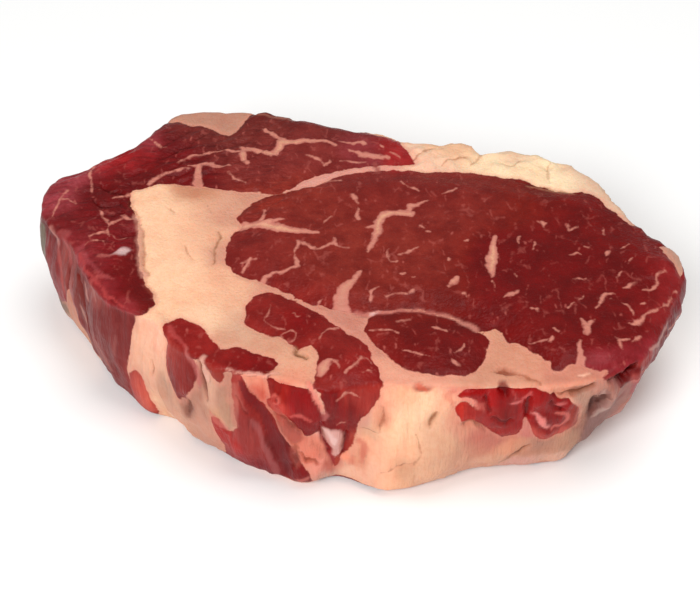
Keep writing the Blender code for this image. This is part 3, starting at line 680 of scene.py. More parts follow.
def divide_faces(piece, chosen):
    """Divides each edge of every face that has a chosen vertex once."""
    make_active(piece)
    bpy.context.tool_settings.mesh_select_mode = (False, False, True)
    bpy.ops.object.mode_set(mode="EDIT")
    bpy.ops.mesh.select_all(action="DESELECT")
    bpy.ops.object.mode_set(mode="OBJECT")
    mesh = piece.data
    corners = np.zeros(len(mesh.loops), int)
    mesh.loops.foreach_get("vertex_index", corners)
    starts = np.zeros(len(mesh.polygons), int)
    mesh.polygons.foreach_get("loop_start", starts)
    mesh.polygons.foreach_set("select", np.logical_or.reduceat(chosen[corners], starts))
    bpy.ops.object.mode_set(mode="EDIT")
    bpy.ops.mesh.subdivide(number_cuts=1, ngon=False, quadcorner="INNERVERT")
    bpy.ops.object.mode_set(mode="OBJECT")


def strand_share(at, marks):
    """1 where the cap shows its coarse strands, 0 elsewhere."""
    x, y = at["plan"][:, 0], at["plan"][:, 1]
    return ease(-x, 8, 26) * ease(y - 0.35 * x, 8, 16) * ease(marks["lean"], -0.2, 0.8) * at["top"]


def face_relief(at, marks):
    """The soft relief of lean, fat, seams and veins, in millimetres."""
    places = at["places"]
    lean = marks["lean"]
    meat = ease(lean, -0.3, 0.6)
    relief = 0.45 * ripple(places, 14, 3.1) + 0.22 * ripple(places, 5.0, 7.7)
    # seams between muscle and fat, and veins that stand a little proud of the lean
    relief -= 0.3 * np.exp(-(lean / 0.8) ** 2) * (1 - at["under"])
    relief += 0.04 * ease(marks["vein"], -0.2, 0.4) * meat
    # bundles of fibre in the lean and billows of the fat
    relief += (0.1 * ripple(places, 2.4, 11.3) + 0.06 * ripple(places, 1.1, 4.3)) * meat
    relief += (0.3 * ripple(places, 6.5, 1.9) + 0.12 * ripple(places, 2.2, 6.1)) * (1 - meat)
    # coarse strands of the cap, running up to the right
    x, y = places[:, 0], places[:, 1]
    turned = np.stack([x * 0.8 + y * 0.6, y * 0.8 - x * 0.6, places[:, 2] * 0.3], 1)
    strands = 1.1 * ridge(turned * [0.22, 1, 1], 3.2, 5.5) + 0.4 * ripple(turned * [0.3, 1, 1], 1.5, 2.9)
    relief += strand_share(at, marks) * strands
    # lumps of the back fat
    back = ease(y, 28, 33) * ease(x, 12, 18)
    return relief + back * (1 - meat) * 1.8 * ridge(places, 5.6, 2.2)


def wall_relief(at):
    """The folds of the wall, the sharp rim with its ragged edge, and the lumps, in millimetres."""
    places, u, v, side = at["places"], at["u"], at["v"], at["side"]
    hanging = np.stack([u, v * 0.3, np.zeros(len(u))], 1)
    relief = side * (0.8 * ripple(hanging, 6.5, 4.4) + 0.38 * ripple(hanging, 2.6, 9.1))
    relief += side * 0.5 * ridge(places * [1, 1, 0.3], 3.6, 8.8, 0.2)
    crisp = 0.25 + 0.6 * ease(u, -14, -4) * ease(-u, -186, -176)
    relief += np.exp(-(v / 1.4) ** 2) * (crisp + 0.4 * ripple(places, 3.4, 6.6)) * (1 - at["under"])
    for middle_u, middle_v, along, down, push in WALL_LUMPS:
        away = ((u - middle_u) / along) ** 2 + ((v - middle_v) / down) ** 2
        relief += push * np.exp(-away) * ease(v, -1, 1)
    return relief


def foot_tuck(at):
    """How far the foot of the wall draws in over the surface the steak lies on, in millimetres."""
    draw = np.zeros(len(at["u"]))
    for middle, reach, height, deep in FOOT_TUCKS:
        draw += deep * np.exp(-((at["u"] - middle) / reach) ** 2) * ease(height - at["height"], 0, height)
    return draw * ease(TUCK_FADE - at["within"], 0, TUCK_FADE)


def sculpt(piece, at, marks):
    """Moves the vertices out and in, and keeps them on or above the surface the steak lies on."""
    relief = face_relief(at, marks) + wall_relief(at) - marks["cut"]
    relief *= (1 - 0.9 * at["under"]) * ease(at["height"], -0.5, 2.5)
    moved = at["places"] + at["normals"] * relief[:, None] - ORIGIN
    moved[:, :2] += at["inward"] * foot_tuck(at)[:, None]
    moved[:, 2] = np.maximum(moved[:, 2], 0)
    piece.data.vertices.foreach_set("co", (moved * MM).ravel())
    piece.data.update()


# ---------------------------------------------------------------- colours
def linear(colour):
    """An sRGB hex colour as linear red, green and blue."""
    parts = [int(colour[i:i + 2], 16) / 255 for i in (1, 3, 5)]
    return np.array([c / 12.92 if c <= 0.04045 else ((c + 0.055) / 1.055) ** 2.4 for c in parts])


def rgba(colour):
    return (*linear(colour), 1.0)


# Shades of the lean, then of the fat, on the cut face and on the wall: colour, then the middle and the reach
# of each dab. A dab on the face is round: x, y and reach. One on the wall has a reach along and a reach down.
FACE_LEAN_BASE = "#842a26"
FACE_LEAN = (
    # eye and oval
    ("#863027", (8, 10, 26), (-16, 8, 16), (30, 18, 20), (0, -8, 20)),
    ("#7f2825", (35, 24, 16), (10, 24, 14), (-25, 0, 12)),
    ("#6f1210", (60, -10, 22), (72, -22, 18), (50, -25, 16), (62, -36, 14)),
    ("#6b0b0a", (58, -4, 10), (74, -10, 9), (64, -38, 8), (40, -6, 8)),
    ("#741b13", (66, 12, 10), (74, 2, 8), (50, 18, 12), (44, -38, 8)),
    ("#942b2c", (80, -28, 7), (84, -16, 6), (82, -8, 5)),
    ("#6c1816", (15, -35, 17)),
    # cap
    ("#6c1611", (-56, -16, 9), (-52, -20, 6), (-50, 28, 8)),
    ("#742224", (-68, 12, 16), (-62, 30, 14), (-52, 42, 12)),
    ("#79191d", (-68, -4, 9), (-60, -16, 5), (-50, 38, 6)),
    ("#6d181a", (-66, 16, 5), (-66, 24, 5), (-58, 34, 7), (-45, 28, 5)),
    ("#ae2a2c", (-65, 35.4, 5), (-60, 37, 4), (-70, 33, 3)),
    ("#9e4046", (-58, 42, 3.5), (-82, 20, 5), (-80, 27, 5), (-72, 33, 3.5), (-76, 30, 4)),
    # painted highlight: lighter red along the cap's front rim
    ("#8d3033", (-73, -1, 4), (-69.6, -8, 3.5), (-64, -17, 3), (-58, -23.5, 2.6)),
    ("#82312d", (-14, 38, 10), (-25, 33, 9), (-8, 47, 8)),
    ("#722e29", (-20, 50, 7), (-36, 44, 8), (-6, 49, 5), (-46, 48, 7)),
    ("#a42c2c", (10, 41, 4), (13, 37, 3.4), (13, 34.6, 2.6)),
    ("#883436", (2, 40, 4), (0, 44, 4), (4, 36, 3)),
    # front edge of the eye, in a film
    ("#983238", (66, -43.6, 4.5), (60, -43.4, 3), (72, -41.4, 4), (76, -37, 3)),
    # chain and the lobes of the rib meat
    ("#8a2824", (-13, -27, 9), (-20, -28, 8), (-4, -38, 8), (-22, -22, 5)),
    ("#922623", (-41, -31, 8), (-27, -42, 8), (2, -44, 5)),
    ("#7a1516", (-24, -43, 5), (-14, -28, 4)),
    ("#8d3026", (-26, 18, 5), (-16, 22.6, 5)),
)
WALL_LEAN_BASE = "#94383a"
WALL_LEAN_DABS = (
    # cap
    ("#782d2b", (40, 10, 10, 9), (47, 8, 4, 10), (34, 11, 5, 6), (-10, 8, 16, 10)),
    ("#843331", (44, 20, 5, 8), (38, 15, 5, 5), (48, 14, 3, 6), (47, 24, 4, 8), (36, 28, 8, 6)),
    ("#934540", (20, 3, 2.4, 4), (24, 12, 2, 5), (38, 3, 3, 2), (21, 8, 2, 5), (38, 21, 3, 3)),
    ("#742621", (28, 6, 2.4, 4), (30, 10, 2, 5), (33, 13, 2.6, 5)),
    # painted highlight: a bright red band on the cap's rounded rim
    ("#aa3c40", (27, -1, 7, 1.6), (36, -1, 7, 1.4), (45, -0.8, 5, 1.4)),
    ("#6c0e0e", (8, 0, 2.5, 2)),
    ("#94383e", (-24, 4, 14, 8), (-44, 3, 10, 6)),
    # low lean under the cap, then the lobes of the rib meat
    ("#c55445", (52, 25, 3, 5), (54, 33, 3, 4)),
    ("#a1201d", (49.4, 28, 2, 8)),
    ("#ae4941", (65, 1, 2.6, 4), (67, 4, 2.6, 5)),
    ("#8b2825", (70, 10, 3.4, 7)),
    ("#862c28", (73, 7, 2, 7), (72, 13, 2, 4)),
    ("#93352c", (81, 0.6, 2.4, 3), (82, 3.6, 1.6, 2)),
    # long lean below the lobes
    ("#ae423a", (86.8, 4, 1.6, 4), (87, 9, 1.6, 3)),
    ("#983834", (88, 14, 2.2, 5), (90, 20, 2.6, 6), (87, 19, 2.5, 4), (92, 26, 2.4, 6)),
    ("#ae2824", (82.6, 25, 3.6, 6), (85, 29, 4, 5)),
    ("#7d1920", (88, 33, 4, 4), (92, 35, 4, 5)),
    ("#8e1f1b", (89.6, 5.5, 1.8, 3), (91.5, 10, 2, 4), (93.6, 14, 2, 4), (95, 18, 2.2, 4)),
    ("#6c1819", (96.6, 22, 2.2, 4), (98, 26, 2.2, 4)),
    ("#840e12", (99, 30, 2.4, 4), (100.5, 34, 2.4, 3)),
    # bloody side, then the chain
    ("#972119", (98, 1.6, 2.4, 1.8), (99, 4, 1.6, 2), (101, -0.4, 2.4, 1.5)),
    ("#c0382e", (97, 9, 3, 2)),
    ("#9b161c", (103, 3, 3, 4), (105, 8, 2.6, 4)),
    ("#88080b", (105, 13, 2.6, 3.4), (107.6, 11, 1.8, 4)),
    ("#7e0c0d", (110, 3, 3, 4), (112, 6, 3, 5)),
    ("#650505", (110, 13, 2.6, 5)),
    ("#831b1a", (113, 12, 3, 5), (116, 10, 3, 5)),
    ("#ac3931", (116, 3, 3, 3), (120, 3.4, 3, 3), (121, 8, 2, 2)),
    ("#8a1e1c", (116, 17, 1.6, 5)),
    ("#b6412e", (118, 21, 1.4, 4), (110.8, 30, 1.6, 3)),
    # rib meat
    ("#a51a10", (144.8, 2.8, 2.8, 1.8)),
    ("#c2342b", (142.6, 8.6, 1.7, 2.4), (144, 11, 1.4, 2)),
    ("#a50a0e", (148, 3, 2.2, 2), (149.6, 6, 1.6, 3)),
    ("#ab3832", (146.4, 9.4, 2, 2.4)),
    ("#a53432", (149, 12, 2.6, 3)),
    ("#a80307", (152.7, 0.2, 1.5, 3.2)),
    ("#911015", (153, 6, 1.8, 2.4)),
    ("#8a2220", (152.4, 12.6, 4, 3.2), (156, 12, 3, 3)),
    ("#a02522", (155, 18, 3.4, 2.6)),
    ("#9e1d1c", (155.6, 3.4, 2, 2.6), (158.4, 3.2, 1.8, 2)),
    ("#9f1010", (159.2, 9, 1.5, 4), (158.4, 13, 1.4, 3)),
    ("#971b16", (162, 5, 2.4, 3), (163.6, 9, 2.4, 3)),
    ("#901814", (166, 12, 2.6, 3), (163, 13, 1.6, 2)),
    ("#950c0d", (169.6, 11.4, 1.8, 3), (166.4, 18.6, 2.2, 1.8)),
    ("#933228", (171.6, 12, 1.1, 3), (172.4, 18, 1.4, 4)),
    ("#c65549", (163, 20.4, 2.4, 1.6), (169, 21.4, 3, 1.4)),
    # eye
    # painted shade in the hollow under the flap of the eye
    ("#670a07", (182, 2.6, 1.7, 1.3), (184.4, 4.4, 1.4, 1.6), (187.4, 1, 1.6, 1.5)),
    ("#ac4d48", (179, 0, 2, 1.4), (189, 4, 2, 2.5)),
    ("#a64244", (188, -1.6, 4, 1.3), (182, -2, 5, 1.3)),
    ("#ae403a", (191, 2, 3, 2.4)),
    ("#8c2c30", (192, 5, 3, 5), (191, 12, 3, 4)),
    ("#9c5a58", (197, 2.4, 4, 2.6), (203, 1.4, 4, 2)),
    ("#7e2a2e", (198, 8, 4, 5), (206, 7, 6, 6)),
    ("#7c1c20", (208, 1.6, 6, 3), (216, 1.6, 6, 3)),
    ("#8a3a42", (222, 8, 12, 8), (238, 6, 8, 6)),
    # back
    ("#8a383e", (355, 8, 18, 10), (268, 20, 9, 9), (314, 30, 12, 8)),
)
FACE_FAT_BASE = "#efb890"
FACE_FAT = (
    # fat between cap and eye
    ("#f4c19c", (-50, 8, 12), (-50, -10, 12), (-44, -18, 9), (-52, -4, 8), (-53, 20, 6)),
    ("#f4c7a3", (-49, -9, 6), (-38, -29, 4), (-51, 12, 5)),
    ("#e4ab8b", (-40, 12, 8), (-38, 0, 8), (-36, 18, 7), (-32, -14, 7)),
    ("#c78b76", (-32, 21, 6), (-26, 20, 5), (-34, 12, 5), (-34, -4, 3.5), (-20, -15, 5), (-12, -20, 5)),
    # seams between muscles
    ("#c68371", (-8, -25, 4), (-2, -30, 4), (2, -26, 5), (5, -34, 4)),
    ("#da988a", (-9.5, 30, 4), (-1, 32.6, 5), (-16, 26.4, 4), (7, 33, 4)),
    # back fat
    ("#eec1a4", (20, 32, 6), (18, 38, 5), (24, 33, 6)),
    ("#e4b590", (28, 40, 5), (23, 41, 4), (31, 38, 4)),
    ("#f5d7b0", (38, 33, 8), (46, 31, 8), (56, 27, 7), (40, 38, 5), (50, 35, 6)),
    ("#f7dbb5", (36, 34, 4), (57, 26, 4)),
    ("#dcb79b", (44, 38, 3), (63, 25, 4), (67, 18, 3), (71, 13, 3), (61, 31, 3)),
    ("#c59581", (74, 10, 3), (83, 0, 4), (84, -6, 3), (80, 4, 2.5)),
    ("#bb846f", (-44, 54, 9), (-33, 53, 8), (-36, 50, 5)),
    # front of the face
    # painted shadow: a thin brown line in the fat along the cap's edge
    ("#c08062", (-45, 21.6, 3), (-40, 21.4, 3.2), (-42, 25, 2)),
    ("#d1a186", (-40, -33, 6), (-26, -34, 7), (-30, -34, 6)),
    ("#ce9176", (-34, -35, 4), (-22, -36.6, 4)),
    ("#d89d80", (-16, -43, 6), (-12, -46, 4)),
    ("#e0896f", (-14, -48, 3), (-24, -47.4, 3)),
    ("#d59176", (48, -46, 6), (56, -46, 6), (40, -42, 5)),
    ("#b86f5d", (61, -46.4, 3.4), (56, -43, 3), (55, -39, 3), (50, -47, 4)),
    ("#ca8c72", (36, -40, 5), (40, -46, 5), (30, -46.4, 4)),
    ("#dc9980", (12, -47, 6), (20, -48, 6)),
)
WALL_FAT_BASE = "#e4b096"
WALL_FAT_DABS = (
    # below the cap and the lobes
    ("#e8b093", (55, 8, 3.5, 6), (55, 15, 3.5, 5), (60, 12, 4, 4)),
    ("#fab79a", (60, 4, 4, 5), (58, 0, 4, 3)),
    ("#d89e85", (60, 20, 4, 5), (54, 22, 3, 4), (65, 28, 3, 5)),
    ("#e8b796", (60, 28, 4, 6), (57, 33, 3, 4)),
    ("#b5856d", (64, 20, 2.2, 5)),
    ("#d19d85", (78, 3, 1.4, 4), (80, 8, 1.6, 4), (80, 13, 2, 4)),
    ("#ae7b68", (76, 10, 1.5, 3), (83, 8, 1.8, 5), (79, 17, 2, 3)),
    ("#b4876f", (84, 13, 2, 5)),
    # painted shade in a dimple of the wall
    ("#936050", (72, 20, 2, 3)),
    ("#ca967e", (70, 26, 4, 5), (66, 23, 3, 4)),
    ("#c58e79", (76, 24, 3, 5), (77, 30, 4, 4)),
    ("#ce9872", (81.2, 17, 1.4, 2.6)),
    # left end
    ("#544131", (10, 12, 4, 7), (7, 8, 4, 6), (-2, 12, 6, 8)),
    ("#6d4239", (10, 6, 3, 3), (14, 8, 2.5, 5)),
    ("#6d5b4e", (12, 20, 4, 5)),
    ("#bd816e", (24, 18, 3, 3), (22, 20, 3, 4)),
    ("#c58d73", (24, 25, 5, 5)),
    # round the bloody side and the chain
    ("#e69278", (90.4, 1.6, 1.8, 2.2), (92.6, -0.5, 2.5, 1.6)),
    ("#da7d64", (94, -0.6, 1.6, 1.4), (93.4, 3, 1.4, 2)),
    ("#cc5b48", (92.6, 6.4, 1.8, 2.6), (97, 6, 3, 3)),
    ("#a95445", (100, 14, 2.4, 3), (99, 17, 2.4, 3)),
    ("#b15340", (101, 20, 2, 2.6), (97, 11.6, 2, 1.6)),
    ("#db7f69", (104, 22, 2.4, 2), (107, 23.4, 1.8, 2)),
    ("#dc735c", (105.6, 26, 2, 2)),
    ("#dd8d78", (104, 31, 3, 3)),
    ("#e69482", (108, 29, 2.4, 4)),
    ("#bd9585", (107, 35, 5, 3)),
    ("#fabaaf", (112, 17.4, 2.0, 2.6)),
    ("#cb7f61", (113, 22, 2, 3)),
    ("#ff9b77", (112.4, 26, 1.8, 2.4)),
    ("#a94435", (111, 30.4, 1.8, 2)),
    # front fat
    ("#d0927f", (119, 12, 1.6, 2)),
    ("#d9aa8b", (121, 16, 2.4, 3)),
    ("#f1af8e", (120, 22, 3, 4), (124, 20, 3, 6)),
    ("#e9b297", (122, 28, 4, 5), (117, 34, 4, 3)),
    ("#d89174", (124, 10, 1.1, 3), (118, 26, 1.4, 2.6)),
    ("#f9a98a", (126, 6, 2.6, 4)),
    ("#ffc8a1", (127, 14, 3.5, 6)),
    ("#f4b590", (126, 24, 3.6, 5), (126, 32, 4, 4)),
    ("#fbcda6", (131, 12, 3, 5), (134, 6, 2.5, 4)),
    ("#f5b38e", (130, 20, 2.6, 5), (130, 4, 2.5, 3)),
    ("#ca9373", (130, 28, 2.4, 4)),
    ("#b24e3b", (133.6, 0, 1.3, 1.3)),
    ("#dfac8c", (134, 14, 2.6, 5), (134, 22, 3.5, 5), (138, 13, 3, 5), (134, 30, 4, 4)),
    ("#fab292", (138, 4, 3, 3)),
    ("#d39f81", (138, 20, 3.5, 4), (140, 25, 5, 5)),
    ("#e58d78", (142, 0.6, 2.6, 2)),
    ("#d69077", (142, 12, 2, 2.6), (145, 15, 2, 2)),
    ("#d29a80", (143, 26, 4, 4), (150, 30, 5, 3)),
    # round the rib meat
    ("#c07060", (148, 18, 2.6, 2.6), (152, 22, 3, 2.2)),
    ("#c47f68", (148, 24, 3, 3)),
    ("#d99375", (156, 25, 3, 2)),
    ("#bd836b", (160, 26, 2.4, 3), (161, 29, 2, 2)),
    ("#c17268", (160, 17.5, 1.6, 2)),
    ("#a97765", (165, 26, 3, 3)),
    ("#bb856d", (170, 26, 3, 3), (167, 29, 3, 3)),
    ("#d19a8d", (160, 33, 4, 2.4)),
    ("#dba993", (168, 33, 5, 2.4)),
    ("#e89d82", (165, 0.6, 4, 2)),
    ("#ea9c80", (170, -0.4, 3, 1.8), (174, -1.6, 2.4, 1.6)),
    ("#d3896e", (168, 4, 2.4, 1.2)),
    # painted shadow under the overhanging flap of fat
    ("#a1644e", (172, 3.8, 1.8, 1.2)),
    # right corner
    ("#b68773", (174.2, 8, 1.3, 3), (174.4, 14, 1.2, 4)),
    ("#9a6757", (174.6, 20, 1.4, 3)),
    ("#b68971", (174, 28, 2.4, 4)),
    ("#ba806f", (177, 3, 1.8, 2.4), (178, 7, 1.2, 2), (181, 8, 1.5, 2.6)),
    # painted shade in the deepest hollow of the right corner
    ("#6d3d35", (177.2, 12, 1.4, 3.6), (179, 17, 1.2, 2.4)),
    ("#bf8d7e", (179, 9.5, 1.4, 2), (180.6, 13, 1.4, 3)),
    # painted shade in the hollow under the flap of the eye
    ("#83433b", (182, 5.4, 1.3, 1.6)),
    ("#a86350", (183.4, 10, 1.6, 3), (186, 12, 2, 4)),
    ("#865b54", (182, 17, 2.4, 3), (180, 22, 3, 3), (178, 27, 3.4, 4)),
    ("#9e4e55", (188, 8, 2, 3)),
    ("#974a4a", (192, 6, 3, 3), (196, 9, 4, 3)),
    # right end and back
    ("#b06f65", (194, 20, 8, 10), (208, 20, 10, 9), (222, 22, 12, 9)),
    ("#c89c84", (236, 22, 10, 9), (246, 10, 6, 8)),
    ("#f2cba4", (270, 6, 12, 6), (290, 8, 10, 10), (318, 8, 12, 8)),
    ("#e6b496", (258, 22, 10, 10), (280, 26, 12, 9), (300, 20, 8, 10), (330, 22, 10, 10)),
    ("#cf9480", (345, 26, 14, 8), (370, 24, 12, 9), (385, 10, 10, 10)),
    ("#bf8570", (-56, 8, 8, 9), (-40, 24, 12, 8)),
    ("#b87868", (-22, 26, 12, 8), (-4, 32, 10, 6)),
)
# Stains, painted highlights and painted shadows on lean and fat alike: colour, cover, the widths of a stroke,
# then its points.
WALL_STAINS_AND_PAINTED_LIGHT = (
    # left end and cap
    ("#c07c72", 0.7, (1.4, 2.0, 1.2), (11, -0.4), (12.4, 1.6), (14, 3)),
    ("#a65250", 0.7, (1.0, 2.2, 1.4), (16, 0), (19, 3), (22, 7), (24.6, 12), (25.4, 16)),
    ("#b0524c", 0.6, (0.6, 1.2, 0.8), (14, 3), (16, 9), (18, 15)),
    ("#6e6250", 0.85, (3.0, 5.0, 2.6), (4, 4.6), (6, 11), (8.6, 17)),
    ("#dc9c8a", 0.8, (0.5, 1.0, 0.7), (84.2, 0.7), (87, 0.5), (90, 0.3), (94, -0.2), (97, -1)),
    ("#9c625a", 0.6, (0.6, 1.4, 0.6), (23, 7), (24.4, 11), (24.6, 15)),
    ("#b9796e", 0.8, (0.6, 1.6, 0.6), (31.2, 3.4), (33, 5), (35, 7.4)),
    ("#ac6c64", 0.6, (0.6, 1.2, 0.6), (35.6, 1), (37, 2.4), (38.6, 4)),
    ("#752f2b", 0.75, (1.0, 2.8, 1.4), (26.4, 5), (30.2, 9), (32.6, 14), (34.6, 21)),
    ("#b77d6e", 0.7, (0.6, 1.4, 0.8), (29, 13), (30.4, 16.4), (31.4, 20)),
    # painted highlight: a bright red line along the cap's rounded rim
    ("#b0403e", 0.75, (0.8, 1.5, 0.6), (20, -2), (28, -1), (36, -0.8), (43, -0.8), (50, -0.6)),
    ("#a4625a", 0.6, (0.6, 1.3, 0.8), (37, 18.6), (39, 22), (41.6, 27)),
    ("#9a5650", 0.5, (0.4, 1.0, 0.4), (46.4, 11), (46, 14), (45.2, 17.4)),
    # lobes of the rib meat and long lean
    ("#b44844", 0.65, (1.2, 2.0, 1.0), (63, -2), (66, -1.2), (69, -1), (71.4, -0.4)),
    ("#b4605a", 0.8, (0.9, 1.8, 1.0), (71.6, -0.6), (73.4, 2), (75.2, 5), (76.2, 9)),
    # painted shadow: a thin dark line beside a pale finger of fat
    ("#8a5042", 0.85, (0.6, 1.3, 0.6), (75.6, 1.4), (76.6, 5), (77.6, 8), (79, 11.6)),
    ("#dba290", 0.85, (1.2, 2.2, 1.2), (77, -1.6), (77.6, 2), (79, 6)),
    # painted shade in a dimple of the wall
    ("#8e5a4c", 0.75, (1.0, 2.6, 1.2), (73.2, 15.4), (73, 18.4), (72, 22.4)),
    ("#b88a76", 0.5, (0.6, 1.2, 0.6), (65, 16), (66, 20), (68, 25)),
    ("#c0685c", 0.6, (0.8, 2.0, 1.0), (80.2, 15.6), (81.6, 18), (84, 20)),
    ("#b46a5c", 0.5, (1.0, 2.0, 1.6), (86, 5), (86.6, 11), (87, 17.4)),
    ("#b0564c", 0.4, (0.5, 1.2, 0.5), (86.8, 7), (88, 9.4), (89.4, 12)),
    # bloody side and chain
    ("#b4483e", 0.8, (1.4, 2.6, 2.0), (95, 8.4), (97, 10.6), (99.4, 12.8)),
    ("#ac5246", 0.8, (1.8, 3.2, 1.6), (99, 12.6), (101, 15.4), (102.6, 19)),
    ("#cc5c50", 0.8, (0.5, 0.9, 0.5), (95.8, 7.2), (96, 5.6), (97.4, 4.7), (98.6, 5.6), (98.4, 7.2),
     (96.8, 7.8)),
    ("#cc564e", 0.7, (0.6, 1.1, 0.6), (101.4, 10.8), (103.6, 9.7), (106, 10.6)),
    ("#9c463a", 0.75, (0.8, 2.0, 0.8), (101.6, 22.4), (102.4, 26), (101.8, 29)),
    ("#b0543e", 0.7, (0.5, 1.3, 0.5), (103, 23.4), (105, 26.4), (107.6, 29)),
    ("#c0705c", 0.6, (0.5, 1.2, 0.5), (106.2, 21.4), (108, 24), (108.4, 27)),
    ("#dc7a6c", 0.85, (1.8, 1.6, 1.0), (105, -2), (107.2, 2.6), (108.6, 6.6)),
    ("#b4605a", 0.7, (0.8, 1.4, 0.6), (108.6, 7), (109.2, 9.4), (109, 11.4)),
    ("#c25a4a", 0.6, (0.8, 1.6, 0.6), (118.2, 20), (118.8, 23.4), (118, 27.4)),
    ("#c8604e", 0.5, (0.6, 1.0, 0.4), (116.4, 26), (116, 28), (115.4, 30)),
    # rib meat
    ("#c8583f", 0.7, (0.9, 1.5, 1.2), (132.6, -0.8), (133.4, 0.4), (134.2, 1.8)),
    ("#b07654", 0.75, (0.5, 0.9, 0.4), (137, 8.6), (136.6, 10.6), (136.2, 13)),
    ("#cc6a54", 0.5, (1.0, 2.0, 1.0), (140.8, 7), (139.6, 4), (141, 1.6)),
    ("#e08272", 0.85, (1.2, 2.0, 1.0), (143.2, 5.8), (145.2, 6.2), (146.8, 7.4)),
    ("#c25a50", 0.6, (0.8, 1.4, 0.6), (147.2, 7), (148.4, 8.4), (148.8, 10)),
    ("#d26a66", 0.85, (0.6, 1.3, 0.5), (155, 7.5), (156.6, 6.8), (158, 6.5)),
    ("#cc5450", 0.8, (0.5, 1.6, 0.6), (158, 5), (159.2, 4), (160, 3.2)),
    ("#b84a46", 0.6, (0.5, 1.2, 0.5), (155, 2), (156, 3.4), (156.4, 5)),
    # dark lines in the rib meat's cracks, this row and the next four: painted shade
    ("#6c0a0c", 0.8, (0.8, 2.2, 1.0), (152.6, -1.6), (152.8, 1), (153.4, 4.4)),
    ("#7c1414", 0.7, (0.5, 1.4, 0.6), (149, 5), (149.6, 8), (150.6, 10)),
    ("#721414", 0.7, (0.6, 1.7, 0.6), (159.8, 5.6), (159.2, 9), (160.4, 13)),
    ("#6e1a1a", 0.6, (0.5, 1.2, 0.5), (151, 13.2), (153, 13.8), (155, 13.2)),
    ("#7c1818", 0.7, (0.5, 1.1, 0.5), (165, 8), (166.6, 9.8), (168.4, 10.8)),
    ("#e4827a", 0.9, (0.9, 2.0, 1.0), (161.8, 12.2), (163.8, 14.6), (165.6, 17)),
    ("#d2685c", 0.8, (0.6, 1.5, 0.8), (167.2, 12.8), (169.6, 13), (170.6, 15.4), (169.4, 17.8),
     (166.8, 18.6)),
    ("#ca605c", 0.85, (0.7, 1.6, 0.7), (166.8, 9.4), (168, 8.6), (169.2, 8.8)),
    ("#c06a5c", 0.5, (0.6, 1.4, 0.8), (172.4, 11), (173.4, 16), (173, 21)),
    ("#a0684e", 0.75, (0.5, 1.3, 0.8), (161.4, 25.8), (159, 27.6), (156.4, 29.6), (154, 32)),
    # painted shadow under the overhanging flap of fat
    ("#96583f", 0.8, (0.6, 1.9, 1.0), (168.6, 5.4), (172, 4.9), (173.8, 4.3), (175.8, 2.4)),
    # painted highlight on the flap's edge
    ("#f8c2a6", 0.7, (0.6, 1.1, 0.5), (172.6, -2), (175.6, -2.8), (178, -4)),
    # right corner and eye
    ("#946a62", 0.75, (3.0, 5.0, 4.0), (185.4, 7), (185, 13), (183.6, 20)),
    ("#86605a", 0.75, (3.0, 6.0, 5.0), (181.8, 13), (180.8, 20), (178, 29)),
    # painted shade in the hollow of the right corner, this row and the next two
    ("#84544c", 0.8, (2.0, 4.6, 2.4), (178.6, 5.4), (179, 9.6), (179.4, 14.4)),
    ("#5a2c28", 0.85, (1.0, 2.8, 1.0), (179.3, 8.2), (179.6, 11.6), (179.5, 15)),
    ("#6a423c", 0.8, (0.8, 1.8, 1.0), (177.3, 8), (177.4, 11.4), (178.2, 15)),
    ("#c49a8e", 0.7, (0.6, 1.1, 0.6), (178.6, 4.6), (178.7, 8), (178.9, 12)),
    ("#b48a80", 0.55, (0.8, 1.4, 0.9), (181.4, 4.4), (182, 8.4), (182, 12.4), (181, 15.4), (178.8, 17.2)),
    ("#c4a498", 0.7, (0.8, 1.7, 0.7), (178.4, 18.6), (180, 17.4), (181.6, 15.6)),
    # painted shade in the hollow under the flap of the eye
    ("#8c4a46", 0.8, (1.6, 2.8, 1.4), (180.8, 3.4), (182, 4.2), (183.2, 5.4)),
    ("#7c4440", 0.7, (0.5, 1.4, 0.5), (184, 14), (184.8, 12), (186, 9)),
    ("#c08a80", 0.75, (0.8, 1.8, 1.6, 0.8), (195, 0.4), (199, 1.6), (203, 1), (208, 0.4)),
    # painted shade in the hollow under the flap of the eye
    ("#620c0e", 0.8, (1.0, 2.0, 1.0), (184.4, 2), (187, 2.6), (189.6, 2.4)),
    # dark groove beside the long lean, darkened as painted shade, and the pale end of a vessel with a painted
    # highlight
    ("#d8786a", 0.5, (0.8, 1.6, 0.8), (104.6, 33), (103, 35), (104, 37)),
    # painted shade along the groove
    ("#6e1618", 0.85, (1.4, 3.2, 4.4), (88, 4), (90, 7.6), (92.6, 12), (94.6, 16.4), (97, 21.4), (99, 27),
     (99.6, 33)),
    # painted shade deep in the groove
    ("#5e0e12", 0.7, (0.6, 2.0, 1.4), (98.2, 25), (98.8, 29), (98.8, 34)),
    ("#a05452", 0.6, (0.6, 2.2, 1.4), (90.6, 15), (93.4, 23), (95.4, 31), (96.2, 36)),
    ("#8e1e22", 0.85, (1.4, 1.7, 1.2), (108, 13), (109, 18), (110, 23.4), (111.2, 31)),
    ("#d49c92", 0.95, (4.6, 5.6, 4.4), (111.3, 16.6), (111.8, 18.6), (112.2, 20.8)),
    ("#d49c92", 0.9, (4.4, 3.8, 2.0), (112.5, 20.8), (112.7, 23.4), (111.8, 26.2)),
    # painted highlight on the top left of the vessel's pale end
    ("#ecc4bc", 0.6, (1.8, 2.6, 1.4), (110.3, 16.4), (111.1, 17.8), (111.6, 19.8)),
)
